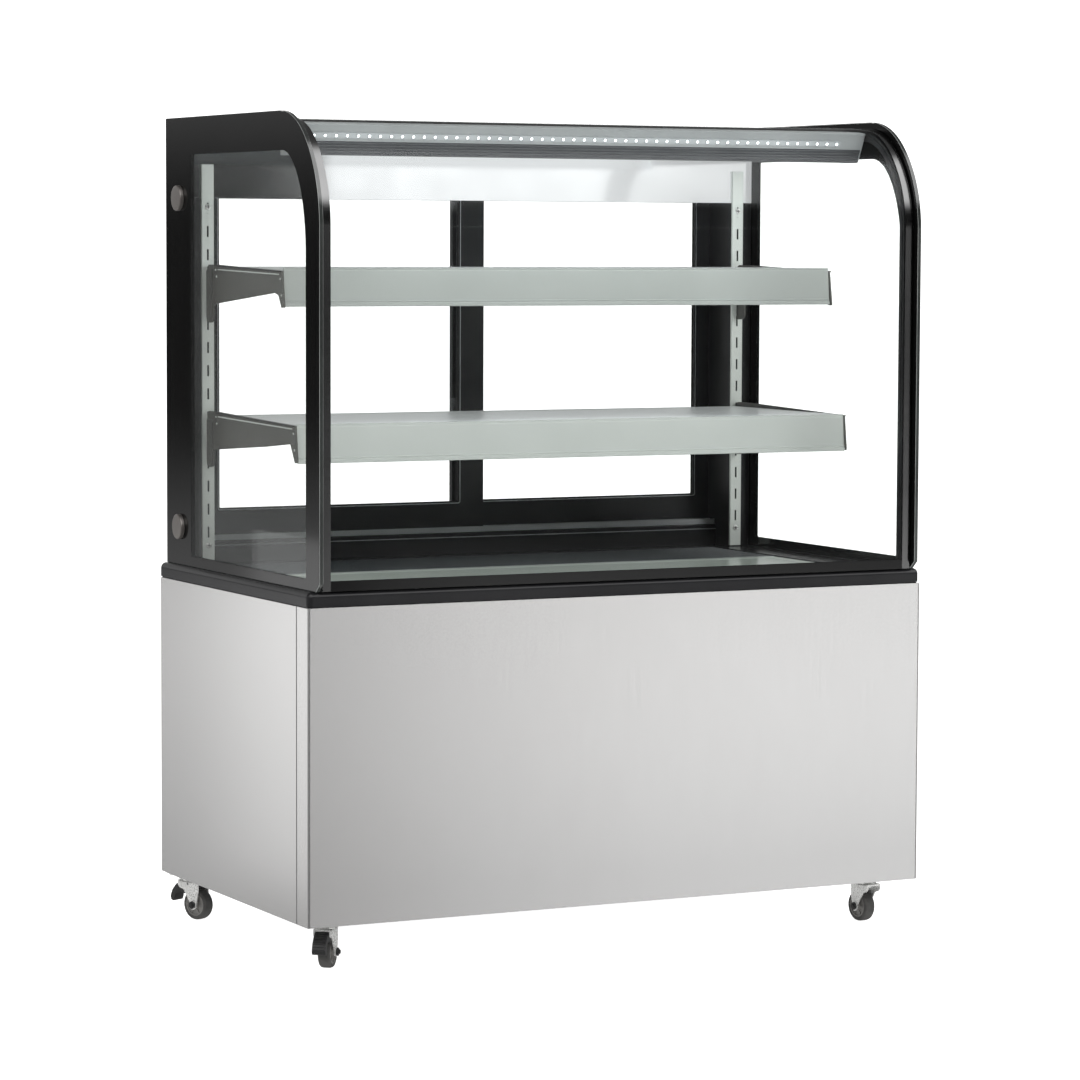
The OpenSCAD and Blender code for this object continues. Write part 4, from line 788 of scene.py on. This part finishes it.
# ------------------------------------------------------------------ casters
cad("caster_plates", zinc, 0.5)
K = {"fl": (-538, -262, 51, 1), "fr": (538, -262, 96, 0), "rl": (-557, 300, -64, 1), "rr": (557, 300, -70, 0)}
TR, AZ = 16.0, 28.0
for c, (kx, ky, az, brk) in K.items():
    M = Matrix.Translation((kx, ky, 0)) @ Matrix.Rotation(math.radians(az), 4, "Z")
    # fork: crown, legs, race, axle and nuts
    g = G()
    crown = fillet([(-21, -15.2), (TR + 12, -15.2), (TR + 12, 15.2), (-21, 15.2)], [3, 3, 3, 3], 4)
    g.prism(crown, "z", 68, 71, [arc((0, 0), 5.3, 0, 345, 23)], M=M)
    g.lathe([(5.3, 70.9), (17, 70.9), (17, 73.2), (15.2, 73.8), (15.2, 75.0), (17, 75.6), (17, 77.6), (16, 78.1), (5.3, 78.1)], (0, 0, 0), (0, 0, 1), 56, 0, M)
    leg = fillet([(-21, 71), (-21, 62), (-16, 57), (-7, 55), (TR - 7, 30), (TR - 7, 21), (TR + 7, 21), (TR + 8, 30), (TR + 12, 50), (TR + 12, 71)], [0, 2, 5, 9, 5, 6.8, 6.8, 5, 8, 0], 6)
    for y0 in (-15.2, 12.7):
        hol = [[(-10 + 2.0 * math.cos(a * .3927), 65.5 + 2.0 * math.sin(a * .3927)) for a in range(16)], [(3 + 2.0 * math.cos(a * .3927), 65.5 + 2.0 * math.sin(a * .3927)) for a in range(16)]]
        g.prism(leg, "y", y0, y0 + 2.5, hol if not brk else [hol[1]], M=M)
    g.lathe([(0, -16), (4, -16), (4, 16), (0, 16)], (TR, 0, AZ), (0, 1, 0), 32, 0, M)
    for s in (-1, 1):
        g.lathe([(4.0, 0.2), (8.8, 0.2), (8.8, 1.0), (4.0, 1.0)], (TR, s * 15.2, AZ), (0, s, 0), 40, 0, M, closed=True)
        hexp = [(TR + 7.2 * math.cos(math.radians(a)), AZ + 7.2 * math.sin(math.radians(a))) for a in range(30, 390, 60)]
        y0, y1 = sorted((s * 16.2, s * 19.7))
        g.prism(hexp, "y", y0, y1, M=M, mi=1)
        g.lathe([(0, 4.4), (3.9, 4.4), (3.9, 6.6), (3.2, 7.4), (0, 7.5)], (TR, s * 15.2, AZ), (0, s, 0), 24, 1, M)
    if brk:
        g.lathe([(0, -14), (2.5, -14), (2.5, 14), (0, 14)], (-15, 0, 62), (0, 1, 0), 24, 0, M)
        for s in (-1, 1): g.lathe([(0, 0), (3.6, 0), (3.6, 0.7), (2.6, 1.2), (0, 1.3)], (-15, s * 15.0, 62), (0, s, 0), 28, 0, M)
    g.obj("caster_fork_" + c, "fork_" + c, [zinc, pedal], ["fork_" + c], bevel=0.35, angle=30)
    # wheel: rounded tread, dished core with a hub
    g = G()
    w = 11.0
    tread = [(20.6, -w + 1.0), (23.6, -w + 0.2), (25.6, -w + 0.6), (27.0, -w + 2.0), (27.8, -w + 4.4), (28.0, -w + 7.2), (28.0, w - 7.2), (27.8, w - 4.4), (27.0, w - 2.0), (25.6, w - 0.6), (23.6, w - 0.2), (20.6, w - 1.0)]
    g.lathe(tread, (TR, 0, AZ), (0, 1, 0), 96, 0, M)
    corep = [(4.06, -12.4), (8.6, -12.4), (9.4, -11.8), (9.6, -w + 2.6), (11, -w + 3.4), (16.6, -w + 3.4), (18.0, -w + 2.6), (18.6, -w + 0.9), (20.6, -w + 0.9)]
    g.lathe(corep, (TR, 0, AZ), (0, 1, 0), 96, 1, M)
    g.lathe([(r, -h) for r, h in corep], (TR, 0, AZ), (0, 1, 0), 96, 1, M)
    g.lathe([(4.06, -12.4), (4.06, 12.4)], (TR, 0, AZ), (0, 1, 0), 48, 1, M)
    for kk in range(6):
        a = math.radians(60 * kk)
        for s in (-1, 1):
            Ms = M @ Matrix.Translation((TR, 0, AZ)) @ Matrix.Rotation(a, 4, "Y")
            y0, y1 = sorted((s * (w - 3.5), s * (w - 1.6)))
            g.box(9.2, 18.4, y0, y1, -0.9, 0.9, 1, Ms)
    g.obj("caster_wheel_" + c, "wheel_" + c, [rubber, core], ["wheel_" + c], angle=38)
    if brk:
        g = G()
        shoe = [(TR + 29.8 * math.cos(math.radians(a)), AZ + 29.8 * math.sin(math.radians(a))) for a in range(142, 127, -2)]
        poly = [(-10.5, 66), (-22, 66.5), (-30, 60), (-38, 50), (-42, 38), (-40, 32), (-34, 30), (-32, 34), (-30, 44), (-25, 51), (-17, 52)] + shoe + [(-6.5, 56.5), (-10.5, 60)]
        poly = fillet(poly, [2, 5, 5, 5, 3, 2, 1.5, 2, 4, 3, 2] + [0] * len(shoe) + [1, 2], 4)
        hole = arc((-15, 62), 2.6, 0, 345, 23)
        g.prism(poly, "y", -12, 12, [hole], M=M)
        # raised grip ribs across the tread of the pedal
        pts = [(-24, 65.0), (-28, 61.6), (-32, 57.6), (-35.2, 53.6), (-38.2, 49.0), (-39.8, 44.4), (-41.2, 40.0)]
        for x, z in pts:
            g.tube([(x - 0.4, -10.5, z), (x - 0.4, 10.5, z)], 0.9, 10, 0, M)
        g.obj("caster_pedal_" + c, "brake_" + c, [pedal, core], ["brake_" + c], bevel=0.5, angle=30)
# plate bolts
g = G()
for c, (kx, ky, az, brk) in K.items():
    for x in (-29, 29):
        for y in (-23, 23):
            hexp = [(kx + x + 5.4 * math.cos(math.radians(a)), ky + y + 5.4 * math.sin(math.radians(a))) for a in range(0, 360, 60)]
            g.prism(hexp, "z", 78.6, 81.9)
            g.lathe([(0, 0), (7, 0), (7, 0.6), (0, 0.6)], (kx + x, ky + y, 81.4), (0, 0, 1), 28)
g.obj("caster_bolts", C, zinc, bevel=0.3, seg=1, angle=30)

# ------------------------------------------------------------------ floor, lights, world
fm = bpy.data.materials.new("pale_floor")
nt = tree(fm)
out = N(nt, "ShaderNodeOutputMaterial")
df = N(nt, "ShaderNodeBsdfPrincipled")
df.inputs["Base Color"].default_value = (0.86, 0.86, 0.86, 1)
df.inputs["Roughness"].default_value = 0.9
df.inputs["Specular IOR Level"].default_value = 0.1
df.inputs["Emission Color"].default_value = (1, 1, 1, 1)
df.inputs["Emission Strength"].default_value = 0.95
nt.links.new(df.outputs[0], out.inputs["Surface"])
me = bpy.data.meshes.new("floor")
me.from_pydata([(-60, -60, 0), (60, -60, 0), (60, 60, 0), (-60, 60, 0)], [], [[0, 1, 2, 3]])
me.materials.append(fm)
floor = bpy.data.objects.new("floor", me)
scene.collection.objects.link(floor)
floor.visible_glossy = False

def area(name, loc, target, w, h, energy, col=(1, 1, 1), glossy=False):
    L = bpy.data.lights.new(name, "AREA"); L.shape = "RECTANGLE"; L.size = w; L.size_y = h; L.energy = energy; L.color = col
    o = bpy.data.objects.new(name, L); scene.collection.objects.link(o)
    o.location = loc
    o.rotation_mode = "QUATERNION"
    o.rotation_quaternion = (Vector(loc) - Vector(target)).to_track_quat("Z", "Y")
    o.visible_glossy = glossy
    o.visible_camera = False
    return o
area("key_softbox", (2.6, -4.2, 3.2), (0, 0, 0.8), 2.4, 2.0, 130)
area("left_softbox", (-4.2, -1.6, 2.6), (0, 0, 0.8), 2.0, 2.0, 50)
area("lamp_glow", (0.06, -0.150, 1.372), (0.06, 0.20, 1.20), 0.94, 0.02, 2.2, (0.93, 0.97, 1.0))
area("side_card", (-1.5, 1.50, 0.16), (-0.5, 1.50, 0.16), 1.30, 0.80, 1.9, glossy=True)

world = bpy.data.worlds.new("studio")
scene.world = world
world.use_nodes = True
nt = world.node_tree
nt.nodes.clear()
wo = N(nt, "ShaderNodeOutputWorld")
tc = N(nt, "ShaderNodeTexCoord")
sx = N(nt, "ShaderNodeSeparateXYZ"); nt.links.new(tc.outputs["Generated"], sx.inputs[0])
X, Y, Z = sx.outputs
elev = math_node(nt, "MULTIPLY", math_node(nt, "ARCSINE", Z), 57.2958)
azi = math_node(nt, "MULTIPLY", math_node(nt, "ARCTAN2", X, math_node(nt, "MULTIPLY", Y, -1.0)), 57.2958)
mul = lambda a, b: math_node(nt, "MULTIPLY", a, b)
add = lambda a, b: math_node(nt, "ADD", a, b)
sub = lambda a, b: math_node(nt, "SUBTRACT", a, b)
soft = lambda v, a, b: mapr(nt, v, a, b, 0.0, 1.0, True)
front = sub(1.0, soft(math_node(nt, "ABSOLUTE", azi), 62.0, 84.0))
# front half: softbox above, dark at eye level, a lit window low on the right, pale floor below that brightens to the right
box_v = mul(soft(elev, 17.0, 27.0), sub(1.0, soft(elev, 62.0, 74.0)))
side_g = mul(soft(azi, 23.1, 25.8), sub(1.0, mul(soft(azi, 30.5, 38.0), 0.25)))
low = mul(sub(1.0, soft(elev, -5.5, -4.2)), add(mul(side_g, 1.22), 0.03))
low = mul(low, add(add(mul(soft(elev, -10.5, -5.2), 0.75), mul(soft(elev, -22.0, -10.0), 0.25)), 0.55))
window_v = mul(mul(soft(elev, 0.40, 0.56), sub(1.0, soft(elev, 1.7, 2.3))), mul(soft(azi, 23.2, 23.6), sub(1.0, soft(azi, 50.0, 62.0))))
top_v = soft(elev, 66.0, 76.0)
gf = add(add(add(mul(box_v, 2.7), low), mul(window_v, 0.95)), add(mul(top_v, 0.6), 0.02))
# sides and back: darkest just under eye level, paler above and below
gb = add(add(mul(mul(soft(elev, 0.2, 4.0), sub(1.0, mul(soft(elev, 12.0, 32.0), 0.8))), 0.62), mul(mul(sub(1.0, soft(elev, -5.4, -2.4)), 0.47), add(mul(soft(elev, -13.0, -5.0), 0.50), 0.50))), 0.03)
glossy = add(mul(front, gf), mul(sub(1.0, front), gb))
lp = N(nt, "ShaderNodeLightPath")
bg_cam = N(nt, "ShaderNodeBackground"); bg_cam.inputs["Color"].default_value = (1, 1, 1, 1); bg_cam.inputs["Strength"].default_value = 1.6
bg_dif = N(nt, "ShaderNodeBackground"); bg_dif.inputs["Color"].default_value = (1, 1, 1, 1); bg_dif.inputs["Strength"].default_value = 0.62
bg_glo = N(nt, "ShaderNodeBackground"); bg_glo.inputs["Color"].default_value = (1, 1, 1, 1)
nt.links.new(glossy, bg_glo.inputs["Strength"])
m1 = N(nt, "ShaderNodeMixShader"); nt.links.new(lp.outputs["Is Glossy Ray"], m1.inputs["Fac"]); nt.links.new(bg_dif.outputs[0], m1.inputs[1]); nt.links.new(bg_glo.outputs[0], m1.inputs[2])
m2 = N(nt, "ShaderNodeMixShader"); nt.links.new(lp.outputs["Is Camera Ray"], m2.inputs["Fac"]); nt.links.new(m1.outputs[0], m2.inputs[1]); nt.links.new(bg_cam.outputs[0], m2.inputs[2])
nt.links.new(m2.outputs[0], wo.inputs["Surface"])
